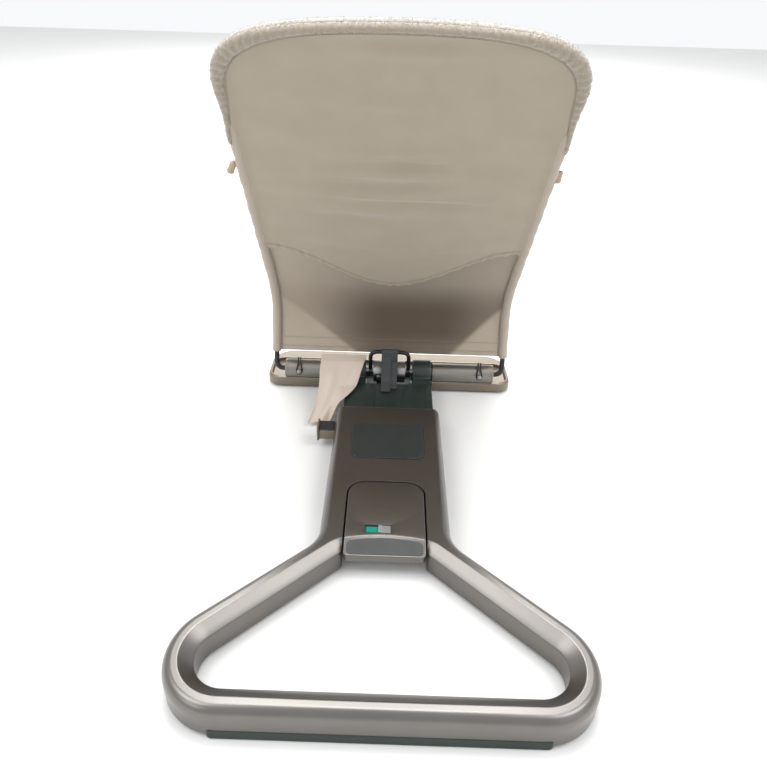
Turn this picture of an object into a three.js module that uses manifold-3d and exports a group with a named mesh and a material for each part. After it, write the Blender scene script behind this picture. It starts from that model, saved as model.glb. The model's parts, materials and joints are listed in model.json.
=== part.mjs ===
// Baby bouncer seat: a fabric seat on a bent wire frame, sprung in a barrel on a wide front foot,
// with a spine, a foot pedal and a rounded-triangle rear loop.
// Millimetres, +Z up, the baby's feet point to -Y, the origin is on the floor under the middle.
import * as THREE from 'three';
import { mergeVertices } from 'three/addons/utils/BufferGeometryUtils.js';
import Module from 'manifold-3d';

const wasm = await Module();
wasm.setup();

// ---------------------------------------------------------------- driving dimensions
const RAD = Math.PI / 180;
const GAP = 0.4; // clearance between neighbouring pieces

const LOOP = { half: 226, rear: 374, cornerR: 67, bar: 32, arm: 44 * RAD, openFront: 157, endR: 9 };
const SPINE = { half: 83.5, front: -160, frontR: 12, fillet: 50 };
const COVER = { top: 42, bottom: 5, wall: 3, edge: 5, slopeWide: 15, slopeDeep: 10 };
const STRIP = { half: 170, front: 346, rear: 375, top: 13, bottom: 0 };
const PEDAL = { half: 51, front: 34, rear: 162, bend: 140, rearTop: 32, thick: 10, cornerR: 24, gap: 2 };
const HINGE = { y: 50, z: 22, pinR: 3, half: 60 };
const SLIDER = { x0: -7, x1: 25, y0: 117, y1: 131 };
const BADGE = { half: 56, y0: -104, y1: -19, cornerR: 15, proud: 1.2 };
const BUTTON = { y0: -122, y1: -96, z0: 16, z1: 34, tip: 111 };
const CHASSIS = { half: 74, rear: -128, wall: -240, front: -309, top: 33, bottom: 9, floor: 6.5 };
const AXIS = { y: -284, z: 33 }; // the seat turns about this line, parallel to X
const BARREL = { r: 17, bore: 13, inner: 76.5, outer: 186 };
const SHAFT = { r: 7, half: 150 };
const DRUM = { r: 20, inner: 9, outer: 28 };
const BRACKET = { r: 22, inner: 42, outer: 74 };
const FOOT = { half: 220, front: -375, rear: -271, bottom: 4.3, top: 21, floor: 13, rim: 6, ridge: 32 };
const BAIL = { half: 33.5, r: 3.5, pinY: -272, pinZ: 40, topY: -262, topZ: 84 };
const ROD = { half: 4, z0: 10.5, z1: 16.5 };
const WIRE = { r: 4.5, half: 203, kneeY: -330, kneeZ: 153, kneeBend: 50, topY: -26, topZ: 592, joint: 330 };
const CASING = { outer: 7.8, bore: 6.7, end: 430 }; // fabric tunnel sewn round the wire
const FLAP = { y0: -290, y1: -152, high: 60, dip: 2.5, low: 8, thick: 2 };
const TOPCURVE = { drop: 85, shoulder: 0.26, reach: 0.8 }; // shape of the seat's rounded upper end

const COLOUR = {
  satin: 0x8a8884, taupe: 0x7d7566, black: 0x1c2422, slate: 0x3b464c, rubber: 0x22302e,
  steel: 0x9a9a9a, wire: 0x101214, fabric: 0xa89e8a, lining: 0x9a8f80, plush: 0xb9ad9a,
  fleece: 0xe4ddd2, webbing: 0x24272a, teal: 0x10b8a0, silver: 0xa4a6a6,
};

// ---------------------------------------------------------------- helpers
const group = new THREE.Group();

function add(name, geometry, colour, roughness = 0.6, metalness = 0) {
  const material = new THREE.MeshStandardMaterial({ color: colour, roughness, metalness });
  const mesh = new THREE.Mesh(geometry, material);
  mesh.name = name;
  group.add(mesh);
}

function toSolid(geometry) {
  const bare = geometry.clone();
  bare.deleteAttribute('normal');
  bare.deleteAttribute('uv');
  const merged = mergeVertices(bare, 1e-4);
  return new wasm.Manifold(new wasm.Mesh({
    numProp: 3,
    vertProperties: new Float32Array(merged.attributes.position.array),
    triVerts: new Uint32Array(merged.index.array),
  }));
}

function toGeometry(solid) {
  const mesh = solid.getMesh();
  const geometry = new THREE.BufferGeometry();
  geometry.setAttribute('position', new THREE.BufferAttribute(mesh.vertProperties, 3));
  geometry.setIndex(new THREE.BufferAttribute(mesh.triVerts, 1));
  geometry.computeVertexNormals();
  return geometry;
}

function join(...geometries) {
  return toGeometry(geometries.map(toSolid).reduce((a, b) => a.add(b)));
}

function cut(geometry, ...tools) {
  return toGeometry(tools.map(toSolid).reduce((a, b) => a.subtract(b), toSolid(geometry)));
}

function common(a, b) {
  return toGeometry(toSolid(a).intersect(toSolid(b)));
}

// a plan outline raised from low to high, with its edges rounded by edge
function prism(outline, low, high, edge = 0, bevelSegments = 1, curveSegments = 5) {
  const geometry = new THREE.ExtrudeGeometry(outline, {
    depth: high - low - 2 * edge, curveSegments, bevelEnabled: edge > 0,
    bevelThickness: edge, bevelSize: edge, bevelOffset: -edge, bevelSegments,
  });
  return geometry.translate(0, 0, low + edge);
}

// an outline in the side view (Y, Z), carried along X from x0 to x1
function sideways(outline, x0, x1) {
  const geometry = new THREE.ExtrudeGeometry(outline, {
    depth: x1 - x0, curveSegments: 8, bevelEnabled: false,
  });
  const turn = new THREE.Matrix4().makeBasis(
    new THREE.Vector3(0, 1, 0), new THREE.Vector3(0, 0, 1), new THREE.Vector3(1, 0, 0));
  return geometry.applyMatrix4(turn).translate(x0, 0, 0);
}

function polygon(...points) {
  return new THREE.Shape(points.map(([x, y]) => new THREE.Vector2(x, y)));
}

function box(x0, x1, y0, y1, z0, z1) {
  const geometry = new THREE.BoxGeometry(x1 - x0, y1 - y0, z1 - z0);
  return geometry.translate((x0 + x1) / 2, (y0 + y1) / 2, (z0 + z1) / 2);
}

function roundedRect(x0, x1, y0, y1, r) {
  const shape = new THREE.Shape();
  shape.absarc(x1 - r, y0 + r, r, -Math.PI / 2, 0);
  shape.absarc(x1 - r, y1 - r, r, 0, Math.PI / 2);
  shape.absarc(x0 + r, y1 - r, r, Math.PI / 2, Math.PI);
  shape.absarc(x0 + r, y0 + r, r, Math.PI, 1.5 * Math.PI);
  return shape;
}

// a turned piece on a line parallel to X through (y, z); profile points are [radius, x]
function turned(profile, y, z, segments = 20) {
  const points = profile.map(([r, x]) => new THREE.Vector2(r, -x));
  const geometry = new THREE.LatheGeometry(points.reverse(), segments);
  return geometry.rotateZ(Math.PI / 2).translate(0, y, z);
}

function pin(r, x0, x1, y, z, segments = 16) {
  return turned([[0, x0], [r, x0], [r, x1], [0, x1]], y, z, segments);
}

function ring(outer, bore, x0, x1, y, z, segments = 20) {
  return turned([[outer, x0], [outer, x1], [bore, x1], [bore, x0], [outer, x0]], y, z, segments);
}

function tube(path, r, sides, steps) {
  const section = [];
  for (let i = 0; i < sides; i++) {
    const angle = (2 * Math.PI * i) / sides;
    section.push(new THREE.Vector2(r * Math.cos(angle), r * Math.sin(angle)));
  }
  return new THREE.ExtrudeGeometry(new THREE.Shape(section), { extrudePath: path, steps });
}

class Along extends THREE.Curve {
  constructor(place) {
    super();
    this.place = place;
  }
  getPoint(u) {
    return this.place(u);
  }
}

function coil(radius, wireR, turns, start, y, z, pitch) {
  const path = new Along((u) => {
    const angle = 2 * Math.PI * turns * u;
    return new THREE.Vector3(
      start + pitch * turns * u, y + radius * Math.cos(angle), z + radius * Math.sin(angle));
  });
  return tube(path, wireR, 4, turns * 8);
}

// a sheet or pad: a unit block whose corners (u, v across it, w through it) are placed one by one
function warp(across, along, place) {
  const geometry = new THREE.BoxGeometry(1, 1, 1, across, along, 1);
  const position = geometry.attributes.position;
  for (let i = 0; i < position.count; i++) {
    const spot = place(position.getX(i) + 0.5, position.getY(i) + 0.5, position.getZ(i));
    position.setXYZ(i, spot.x, spot.y, spot.z);
  }
  geometry.computeVertexNormals();
  return geometry;
}

// ---------------------------------------------------------------- plan outlines of the base
// outward direction of the +X arm's outer edge
const ARM_OUT = { x: Math.sin(LOOP.arm), y: -Math.cos(LOOP.arm) };
const CORNER = { x: LOOP.half - LOOP.cornerR, y: LOOP.rear - LOOP.cornerR };

function armY(radius, x) {
  const touch = { x: CORNER.x + radius * ARM_OUT.x, y: CORNER.y + radius * ARM_OUT.y };
  return touch.y + (x - touch.x) * Math.tan(LOOP.arm);
}

function coverOutline(inset) {
  const r = LOOP.cornerR - inset;
  const side = SPINE.half - inset;
  const fillet = SPINE.fillet + inset;
  const filletY = armY(r, side) - fillet * Math.tan((Math.PI / 2 - LOOP.arm) / 2);
  const front = SPINE.front + inset;
  const frontR = SPINE.frontR - inset;
  const turn = Math.PI / 2 - LOOP.arm;
  const shape = new THREE.Shape();
  shape.absarc(side - frontR, front + frontR, frontR, -Math.PI / 2, 0);
  shape.absarc(side + fillet, filletY, fillet, Math.PI, Math.PI - turn, true);
  shape.absarc(CORNER.x, CORNER.y, r, -turn, Math.PI / 2);
  shape.absarc(-CORNER.x, CORNER.y, r, Math.PI / 2, Math.PI + turn);
  shape.absarc(-side - fillet, filletY, fillet, turn, 0, true);
  shape.absarc(-side + frontR, front + frontR, frontR, Math.PI, 1.5 * Math.PI);
  return shape;
}

function openingOutline(outset) {
  const r = LOOP.cornerR - LOOP.bar + outset;
  const front = LOOP.openFront - outset;
  const touchX = CORNER.x + r * ARM_OUT.x;
  const tipX = touchX - (armY(r, touchX) - front) / Math.tan(LOOP.arm);
  const turn = Math.PI / 2 - LOOP.arm;
  const back = { x: LOOP.endR * Math.cos(LOOP.arm), y: LOOP.endR * Math.sin(LOOP.arm) };
  const shape = new THREE.Shape();
  shape.absarc(CORNER.x, CORNER.y, r, -turn, Math.PI / 2);
  shape.absarc(-CORNER.x, CORNER.y, r, Math.PI / 2, Math.PI + turn);
  shape.lineTo(-tipX - back.x, front + back.y);
  shape.quadraticCurveTo(-tipX, front, -tipX + LOOP.endR, front);
  shape.lineTo(tipX - LOOP.endR, front);
  shape.quadraticCurveTo(tipX, front, tipX + back.x, front + back.y);
  return shape;
}

// the loop's opening with its sloping upper edge, grown by outset and lowered by drop
function openingTool(outset, drop) {
  const slope = new THREE.ExtrudeGeometry(openingOutline(outset), {
    depth: 20, curveSegments: 8, bevelEnabled: true, bevelSegments: 1,
    bevelThickness: COVER.slopeDeep, bevelSize: COVER.slopeWide, bevelOffset: 0,
  });
  slope.translate(0, 0, COVER.top - drop);
  return join(slope, prism(openingOutline(outset), -20, COVER.top - COVER.slopeDeep));
}

function pedalOutline(grow) {
  return roundedPedal(PEDAL.half + grow, PEDAL.front - grow, PEDAL.rear + grow, PEDAL.cornerR + grow);
}

function roundedPedal(half, front, rear, r) {
  const shape = new THREE.Shape();
  shape.absarc(half - r, front + r, r, -Math.PI / 2, 0);
  shape.lineTo(half, rear);
  shape.lineTo(-half, rear);
  shape.absarc(-half + r, front + r, r, Math.PI, 1.5 * Math.PI);
  return shape;
}

// ---------------------------------------------------------------- base: cover, tray, feet
const UNDER_PEDAL = 128; // behind this line the spine is open below the pedal

function topCover() {
  const body = cut(
    prism(coverOutline(0), COVER.bottom - 20, COVER.top, COVER.edge, 2, 8),
    box(-300, 300, -300, 400, COVER.bottom - 30, COVER.bottom));
  const cavity = cut(
    prism(coverOutline(COVER.wall), COVER.bottom - 10, COVER.top - COVER.wall, 0),
    openingTool(COVER.wall, COVER.wall));
  const recess = roundedRect(
    -BADGE.half - GAP, BADGE.half + GAP, BADGE.y0 - GAP, BADGE.y1 + GAP, BADGE.cornerR);
  const badge = prism(recess, COVER.top - 1.2, COVER.top + 5);
  return cut(body, openingTool(0, 0), cavity, badge,
    prism(pedalOutline(PEDAL.gap), COVER.bottom - 10, COVER.top + 5),
    box(-PEDAL.half - PEDAL.gap, PEDAL.half + PEDAL.gap, UNDER_PEDAL, LOOP.openFront + 8, 0, 60),
    box(60, 95, BUTTON.y0 - GAP, BUTTON.y1 + GAP, BUTTON.z0 - GAP, BUTTON.z1 + GAP),
    box(-CHASSIS.half - GAP, CHASSIS.half + GAP, -170, -140, 0, CHASSIS.top + GAP),
    box(-STRIP.half - GAP, STRIP.half + GAP, STRIP.front - 6, STRIP.rear + 5, 0, STRIP.top + GAP));
}

const SCREWS = [[62, -60], [-62, -60], [66, 100], [-66, 100]];

function tray() {
  const low = COVER.bottom + 0.5;
  const high = low + 2.6;
  const inset = COVER.wall + GAP;
  const plate = cut(
    prism(coverOutline(inset), low, high),
    prism(openingOutline(inset), 0, 20),
    box(-PEDAL.half - 3, PEDAL.half + 3, UNDER_PEDAL, LOOP.openFront + 8, 0, 20),
    box(-CHASSIS.half - 2, CHASSIS.half + 2, -170, CHASSIS.rear + 2, 0, 20),
    box(-STRIP.half - 4, STRIP.half + 4, STRIP.front - 8, STRIP.rear + 5, 0, 20));
  const ears = [-1, 1].map((side) => {
    const x = side * (HINGE.half - 4);
    return box(x - 2.5, x + 2.5, HINGE.y - 7, HINGE.y + 7, low, HINGE.z + 7);
  });
  const holes = SCREWS.map(([x, y]) => new THREE.CylinderGeometry(2.2, 2.2, 20, 12)
    .rotateX(Math.PI / 2).translate(x, y, low));
  return cut(join(plate, ...ears), ...holes,
    pin(HINGE.pinR + GAP, -HINGE.half - 5, HINGE.half + 5, HINGE.y, HINGE.z));
}

function trayScrew(x, y) {
  const points = [[0, 2], [4, 2], [4, 4.6], [1.8, 4.6], [1.8, 20], [0, 20]]
    .map(([r, z]) => new THREE.Vector2(r, z));
  return new THREE.LatheGeometry(points, 12).rotateX(Math.PI / 2).translate(x, y, 0);
}

function badgeTile() {
  const outline = roundedRect(-BADGE.half, BADGE.half, BADGE.y0, BADGE.y1, BADGE.cornerR - 0.6);
  return prism(outline, COVER.top - 0.9, COVER.top + BADGE.proud, 0.6);
}

add('top_cover', topCover(), COLOUR.satin, 0.35, 0.5);
add('underside_tray', tray(), COLOUR.black);
add('rear_grip_strip',
  prism(roundedRect(-STRIP.half, STRIP.half, STRIP.front, STRIP.rear, 6), STRIP.bottom, STRIP.top),
  COLOUR.rubber, 0.9);
add('badge_tile', badgeTile(), COLOUR.slate, 0.7);
SCREWS.forEach(([x, y], i) => add(`tray_screw_${i + 1}`, trayScrew(x, y), COLOUR.steel, 0.3, 1));

// ---------------------------------------------------------------- base: chassis, hub housing, front foot
function chassis() {
  const slab = box(-CHASSIS.half, CHASSIS.half, CHASSIS.wall, CHASSIS.rear, CHASSIS.bottom, CHASSIS.top);
  const floor = box(-40, 40, CHASSIS.front, CHASSIS.wall + 12, 4, CHASSIS.floor);
  const step = box(-40, 40, CHASSIS.wall, CHASSIS.wall + 12, 4, CHASSIS.bottom + 2);
  return cut(join(slab, floor, step),
    box(-ROD.half - 2, ROD.half + 2, CHASSIS.wall - 5, CHASSIS.rear + 5, ROD.z0 - 1, ROD.z1 + 2));
}

function bearingBracket(side) {
  const shape = new THREE.Shape();
  shape.absarc(AXIS.y, AXIS.z, BRACKET.r, 0, Math.PI);
  shape.lineTo(AXIS.y - BRACKET.r, 5);
  shape.lineTo(CHASSIS.wall - 1, 5);
  shape.lineTo(CHASSIS.wall - 1, CHASSIS.top - 3);
  shape.lineTo(AXIS.y + BRACKET.r, CHASSIS.top);
  const [x0, x1] = side > 0 ? [BRACKET.inner, BRACKET.outer] : [-BRACKET.outer, -BRACKET.inner];
  return cut(sideways(shape, x0, x1), pin(SHAFT.r + 0.6, x0 - 5, x1 + 5, AXIS.y, AXIS.z));
}

function footOutline(inset) {
  const rearR = 24;
  const frontR = 42;
  const half = FOOT.half - inset;
  const shape = new THREE.Shape();
  shape.absarc(half - frontR, FOOT.front + inset + frontR, frontR, -Math.PI / 2, 0);
  shape.absarc(half - rearR, FOOT.rear - inset - rearR, rearR, 0, Math.PI / 2);
  shape.absarc(-half + rearR, FOOT.rear - inset - rearR, rearR, Math.PI / 2, Math.PI);
  shape.absarc(-half + frontR, FOOT.front + inset + frontR, frontR, Math.PI, 1.5 * Math.PI);
  return shape;
}

function frontFoot() {
  const pocket = prism(roundedRect(-FOOT.half + FOOT.rim, FOOT.half - FOOT.rim, FOOT.front + FOOT.ridge,
    FOOT.rear - FOOT.rim, 18), FOOT.floor, 60);
  const hub = box(-BARREL.inner - 1, BARREL.inner + 1, AXIS.y - 28, FOOT.rear + 10, -10, 60);
  return cut(prism(footOutline(0), FOOT.bottom, FOOT.top, 3), pocket, hub,
    pin(BARREL.r + 0.8, -BARREL.outer - 14, BARREL.outer + 14, AXIS.y, AXIS.z, 24));
}

function frontPad(side) {
  const [x0, x1] = side > 0 ? [110, 205] : [-205, -110];
  return prism(roundedRect(x0, x1, -362, -296, 14), 0, FOOT.bottom - 0.3);
}

// the locking plunger stops at notches in this sector
function indexSector() {
  const inner = 25.2;
  const outer = 29;
  const shape = new THREE.Shape();
  shape.absarc(AXIS.y, AXIS.z, outer, -62 * RAD, 12 * RAD);
  shape.absarc(AXIS.y, AXIS.z, inner, 12 * RAD, -62 * RAD, true);
  const notches = [0, -25, -50].map((angle) => {
    const notch = box(10, 26, -1.5, 1.5, inner - 2, inner + 2);
    return notch.rotateX(angle * RAD - Math.PI / 2).translate(0, AXIS.y, AXIS.z);
  });
  return cut(sideways(shape, 14, 22), ...notches);
}

add('chassis', chassis(), COLOUR.black, 0.45);
add('front_foot', frontFoot(), COLOUR.taupe, 0.4, 0.4);
for (const [word, side] of [['left', 1], ['right', -1]]) {
  add(`bearing_bracket_${word}`, bearingBracket(side), COLOUR.black, 0.45);
  add(`front_foot_pad_${word}`, frontPad(side), COLOUR.rubber, 0.9);
}
add('index_sector', indexSector(), COLOUR.steel, 0.3, 1);

// ---------------------------------------------------------------- pedal, slider, link rod, side button
function pedalPlate() {
  const rise = COVER.top;
  const under = rise - PEDAL.thick;
  const plate = sideways(polygon(
    [PEDAL.front, under], [PEDAL.bend - 6, under], [PEDAL.rear, PEDAL.rearTop - PEDAL.thick],
    [PEDAL.rear, PEDAL.rearTop], [PEDAL.bend, rise], [PEDAL.front, rise]), -60, 60);
  const knuckles = [-1, 1].map((side) => {
    const x = side * 45;
    return box(x - 4, x + 4, HINGE.y - 6, HINGE.y + 6, HINGE.z - 6, under + 1);
  });
  const crank = box(-5, 5, HINGE.y - 4, HINGE.y + 4, ROD.z0 - 1, under + 1);
  const recess = box(SLIDER.x0 - 0.5, SLIDER.x1 + 0.5, SLIDER.y0, SLIDER.y1, rise - 4, rise + 5);
  const padBed = sideways(polygon(
    [PEDAL.bend + 4, rise - 3.6], [PEDAL.rear - 2, PEDAL.rearTop - 1],
    [PEDAL.rear - 2, 60], [PEDAL.bend + 4, 60]), -PEDAL.half + 4, PEDAL.half - 4);
  const body = join(common(plate, prism(pedalOutline(0), 0, 60)), ...knuckles, crank);
  const bore = pin(HINGE.pinR + GAP, -HINGE.half - 5, HINGE.half + 5, HINGE.y, HINGE.z);
  return cut(body, recess, padBed, bore);
}

function gripPad() {
  const y0 = PEDAL.bend + 4.6;
  const y1 = PEDAL.rear - 2.6;
  const slope = (PEDAL.rearTop - COVER.top) / (PEDAL.rear - PEDAL.bend);
  const height = (y) => COVER.top + slope * (y - PEDAL.bend);
  const section = polygon(
    [y0, height(y0) - 1], [y1, height(y1) - 0.6], [y1, height(y1) + 1], [y0, height(y0) + 1]);
  return sideways(section, -PEDAL.half + 4.6, PEDAL.half - 4.6);
}

function lockSlider() {
  const floor = COVER.top - 4 + GAP;
  const plate = box(
    SLIDER.x0, SLIDER.x0 + 16, SLIDER.y0 + GAP, SLIDER.y1 - GAP, floor + 1.4, COVER.top - 1.2);
  const ribs = [0, 1, 2].map((i) => {
    const x = SLIDER.x0 + 3.5 + 4 * i;
    return box(x, x + 1.6, SLIDER.y0 + 2, SLIDER.y1 - 2, COVER.top - 2, COVER.top + 0.4);
  });
  return join(plate, ...ribs);
}

function sideButton() {
  const stem = box(58, BUTTON.tip - 3, BUTTON.y0, BUTTON.y1, BUTTON.z0, BUTTON.z1);
  const flange = box(
    BUTTON.tip - 3.5, BUTTON.tip, BUTTON.y0 - 2, BUTTON.y1 + 2, BUTTON.z0 - 2, BUTTON.z1 + 2);
  return join(stem, flange);
}

add('pedal', pedalPlate(), COLOUR.satin, 0.35, 0.5);
add('pedal_grip_pad', gripPad(), COLOUR.slate, 0.9);
add('lock_window', box(SLIDER.x0 + 2, SLIDER.x1 - 0.5, SLIDER.y0 + 1, SLIDER.y1 - 1, COVER.top - 3.7,
  COVER.top - 2.8), COLOUR.teal, 0.5);
add('lock_slider', lockSlider(), COLOUR.silver, 0.4, 0.5);
add('pedal_hinge_pin', pin(HINGE.pinR, -HINGE.half, HINGE.half, HINGE.y, HINGE.z),
  COLOUR.steel, 0.3, 1);
add('pedal_return_spring', coil(5.2, 1, 4, 16, HINGE.y, HINGE.z, 3.6), COLOUR.steel, 0.3, 1);
add('link_rod', box(-ROD.half, ROD.half, AXIS.y + 5.6, HINGE.y - 4.6, ROD.z0, ROD.z1),
  COLOUR.steel, 0.4, 1);
add('side_button', sideButton(), COLOUR.slate, 0.5);
const stemY = (BUTTON.y0 + BUTTON.y1) / 2;
const stemZ = (BUTTON.z0 + BUTTON.z1) / 2;
add('button_spring', coil(5, 0.9, 3, 45, stemY, stemZ, 2.8), COLOUR.steel, 0.3, 1);

// ---------------------------------------------------------------- hub: drums, plunger, bail and strap
function drum(side) {
  const [x0, x1] = side > 0 ? [DRUM.inner, DRUM.outer] : [-DRUM.outer, -DRUM.inner];
  const body = ring(DRUM.r, SHAFT.r + 0.6, x0, x1, AXIS.y, AXIS.z, 24);
  const bore = pin(BAIL.r - 0.1, x0 - 5, x1 + 5, BAIL.pinY, BAIL.pinZ, 12);
  if (side < 0) return cut(body, bore);
  return cut(body, bore, box(14.5, 21.5, AXIS.y + 8, AXIS.y + 30, AXIS.z - 3.5, AXIS.z + 3.5));
}

function plunger() {
  return box(15, 21, AXIS.y + 13.5, AXIS.y + 24.6, AXIS.z - 3, AXIS.z + 3);
}

function bailFrame() {
  const foot = new THREE.Vector2(BAIL.pinY, BAIL.pinZ);
  const top = new THREE.Vector2(BAIL.topY, BAIL.topZ);
  const at = (x, f) => {
    const spot = foot.clone().lerp(top, f);
    return new THREE.Vector3(x, spot.x, spot.y);
  };
  const bend = 14;
  const path = new THREE.CurvePath();
  const rise = 1 - bend / foot.distanceTo(top);
  path.add(new THREE.LineCurve3(at(BAIL.half, 0.11), at(BAIL.half, rise)));
  path.add(new THREE.QuadraticBezierCurve3(
    at(BAIL.half, rise), at(BAIL.half, 1), at(BAIL.half - bend, 1)));
  path.add(new THREE.LineCurve3(at(BAIL.half - bend, 1), at(-BAIL.half + bend, 1)));
  path.add(new THREE.QuadraticBezierCurve3(
    at(-BAIL.half + bend, 1), at(-BAIL.half, 1), at(-BAIL.half, rise)));
  path.add(new THREE.LineCurve3(at(-BAIL.half, rise), at(-BAIL.half, 0.11)));
  const eyes = [-1, 1].map((side) => {
    const x = side * BAIL.half;
    return ring(6.5, BAIL.r - 0.1, x - 3, x + 3, BAIL.pinY, BAIL.pinZ, 12);
  });
  return join(tube(path, BAIL.r, 8, 26), ...eyes);
}

// webbing folded over the bail's bar; only the sewn part near the bar is stiff
function pullStrap() {
  const outer = BAIL.r + 3;
  const inner = BAIL.r + 0.8;
  const shape = new THREE.Shape();
  const tail = { y: BAIL.topY + 8, z: BAIL.topZ - 16 };
  shape.absarc(BAIL.topY, BAIL.topZ, outer, 15 * RAD, 190 * RAD);
  shape.lineTo(BAIL.topY - outer + 2, BAIL.topZ - 14);
  shape.lineTo(BAIL.topY - inner + 2, BAIL.topZ - 14);
  shape.absarc(BAIL.topY, BAIL.topZ, inner, 190 * RAD, 15 * RAD, true);
  shape.lineTo(tail.y, tail.z);
  shape.lineTo(tail.y + 2.2, tail.z);
  return sideways(shape, -14, 14);
}

add('index_drum', drum(1), COLOUR.steel, 0.4, 1);
add('spring_drum', drum(-1), COLOUR.steel, 0.4, 1);
add('lock_plunger', plunger(), COLOUR.steel, 0.3, 1);
add('bail_pivot_pin', pin(3, -37.5, 37.5, BAIL.pinY, BAIL.pinZ, 12), COLOUR.steel, 0.3, 1);
add('release_bail', bailFrame(), COLOUR.black, 0.5);
add('pull_strap', pullStrap(), COLOUR.webbing, 0.9);

// ---------------------------------------------------------------- seat: shaft, barrels, wire frame
function crossShaft() {
  const crank = box(-5.5, 5.5, AXIS.y - 5, AXIS.y + 5, ROD.z0 + 0.5, AXIS.z);
  return join(pin(SHAFT.r, -SHAFT.half, SHAFT.half, AXIS.y, AXIS.z), crank);
}

// the seat's side view in (Y, Z), from the barrel's axis to the upper end
const sidePath = new THREE.Path();
const knee = new THREE.Vector2(WIRE.kneeY, WIRE.kneeZ);
const topEnd = new THREE.Vector2(WIRE.topY, WIRE.topZ);
const upward = topEnd.clone().sub(knee).normalize();
const kneeIn = knee.clone().lerp(new THREE.Vector2(AXIS.y, AXIS.z), WIRE.kneeBend / 128);
const kneeOut = knee.clone().addScaledVector(upward, WIRE.kneeBend);
sidePath.moveTo(AXIS.y, AXIS.z);
sidePath.lineTo(kneeIn.x, kneeIn.y);
sidePath.quadraticCurveTo(knee.x, knee.y, kneeOut.x, kneeOut.y);
sidePath.lineTo(topEnd.x, topEnd.y);
const TOP = sidePath.getLength(); // length along the side view up to the frame's upper end
const OVER = 20; // the fabric's rim runs this far past the end
const HEM = 33; // the fabric starts this far up the side view
const overEnd = topEnd.clone().addScaledVector(upward, OVER);
sidePath.lineTo(overEnd.x, overEnd.y);
const REACH = sidePath.getLength();

// x across, t along the side view, off behind the frame's own surface
function seatSpot(x, t, off) {
  const point = sidePath.getPoint(t / REACH);
  const along = sidePath.getTangent(t / REACH);
  return new THREE.Vector3(x, point.x + off * along.y, point.y - off * along.x);
}

// the frame's outline in (x, t), grown by grow, from t = start on +X over the top to -X
function hoopOutline(start, grow) {
  const half = WIRE.half + grow;
  const top = TOP + grow;
  const shoulder = top - TOPCURVE.drop * TOPCURVE.shoulder;
  const path = new THREE.Path();
  path.moveTo(half, start);
  path.lineTo(half, top - TOPCURVE.drop);
  path.bezierCurveTo(half, shoulder, half * TOPCURVE.reach, top, 0, top);
  path.bezierCurveTo(-half * TOPCURVE.reach, top, -half, shoulder, -half, top - TOPCURVE.drop);
  path.lineTo(-half, start);
  return path;
}

// the tunnel of cloth that the wire runs through along the seat's side
function sideCasing(side) {
  const section = new THREE.Shape();
  section.absarc(0, 0, CASING.outer, 0, 2 * Math.PI);
  const hollow = new THREE.Path();
  hollow.absarc(0, 0, CASING.bore, 0, 2 * Math.PI);
  section.holes.push(hollow);
  const path = new Along((u) => seatSpot(side * WIRE.half, HEM + u * (CASING.end - HEM), 0));
  return new THREE.ExtrudeGeometry(section, { extrudePath: path, steps: 24, curveSegments: 5 });
}

function seatHoop() {
  const outline = hoopOutline(WIRE.joint, 0);
  const path = new Along((u) => {
    const spot = outline.getPoint(u);
    return seatSpot(spot.x, spot.y, 0);
  });
  return tube(path, WIRE.r, 8, 40);
}

function seatLeg(side) {
  const bend = 14;
  const line = (x0, x1) => new THREE.LineCurve3(
    new THREE.Vector3(side * x0, AXIS.y, AXIS.z), new THREE.Vector3(side * x1, AXIS.y, AXIS.z));
  const path = new THREE.CurvePath();
  path.add(line(160, WIRE.half - bend));
  path.add(new THREE.QuadraticBezierCurve3(
    new THREE.Vector3(side * (WIRE.half - bend), AXIS.y, AXIS.z),
    new THREE.Vector3(side * WIRE.half, AXIS.y, AXIS.z), seatSpot(side * WIRE.half, bend, 0)));
  path.add(new Along((u) => seatSpot(side * WIRE.half, bend + u * (WIRE.joint - GAP - bend), 0)));
  return tube(path, WIRE.r, 8, 36);
}

function frameSleeve(side) {
  const low = seatSpot(side * WIRE.half, WIRE.joint - 14, 0);
  const high = seatSpot(side * WIRE.half, WIRE.joint + 14, 0);
  const sleeve = ring(6.2, WIRE.r + 0.5, -14, 14, 0, 0, 12);
  const turn = new THREE.Quaternion().setFromUnitVectors(
    new THREE.Vector3(1, 0, 0), high.clone().sub(low).normalize());
  const middle = low.add(high).multiplyScalar(0.5);
  return sleeve.applyQuaternion(turn).translate(middle.x, middle.y, middle.z);
}

function barrel(side) {
  const [x0, x1] = side > 0 ? [BARREL.inner, BARREL.outer] : [-BARREL.outer, -BARREL.inner];
  return ring(BARREL.r, BARREL.bore, x0, x1, AXIS.y, AXIS.z, 24);
}

function endBush(side) {
  const [x0, x1] = side > 0 ? [172, 185] : [-185, -172];
  return ring(BARREL.bore - 0.6, WIRE.r + 0.6, x0, x1, AXIS.y, AXIS.z, 16);
}

const HOOK = { x: 160, angle: 15 * RAD };

function hookPeg(side) {
  const stand = BARREL.r + 0.3;
  const points = [[0, 0], [3.4, 0], [2.4, 2], [2.4, 5], [4, 6], [3, 8], [0, 8]]
    .map(([r, h]) => new THREE.Vector2(r, h));
  return new THREE.LatheGeometry(points, 12).rotateX(HOOK.angle)
    .translate(side * HOOK.x, AXIS.y + stand * Math.cos(HOOK.angle), AXIS.z + stand * Math.sin(HOOK.angle));
}

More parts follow.
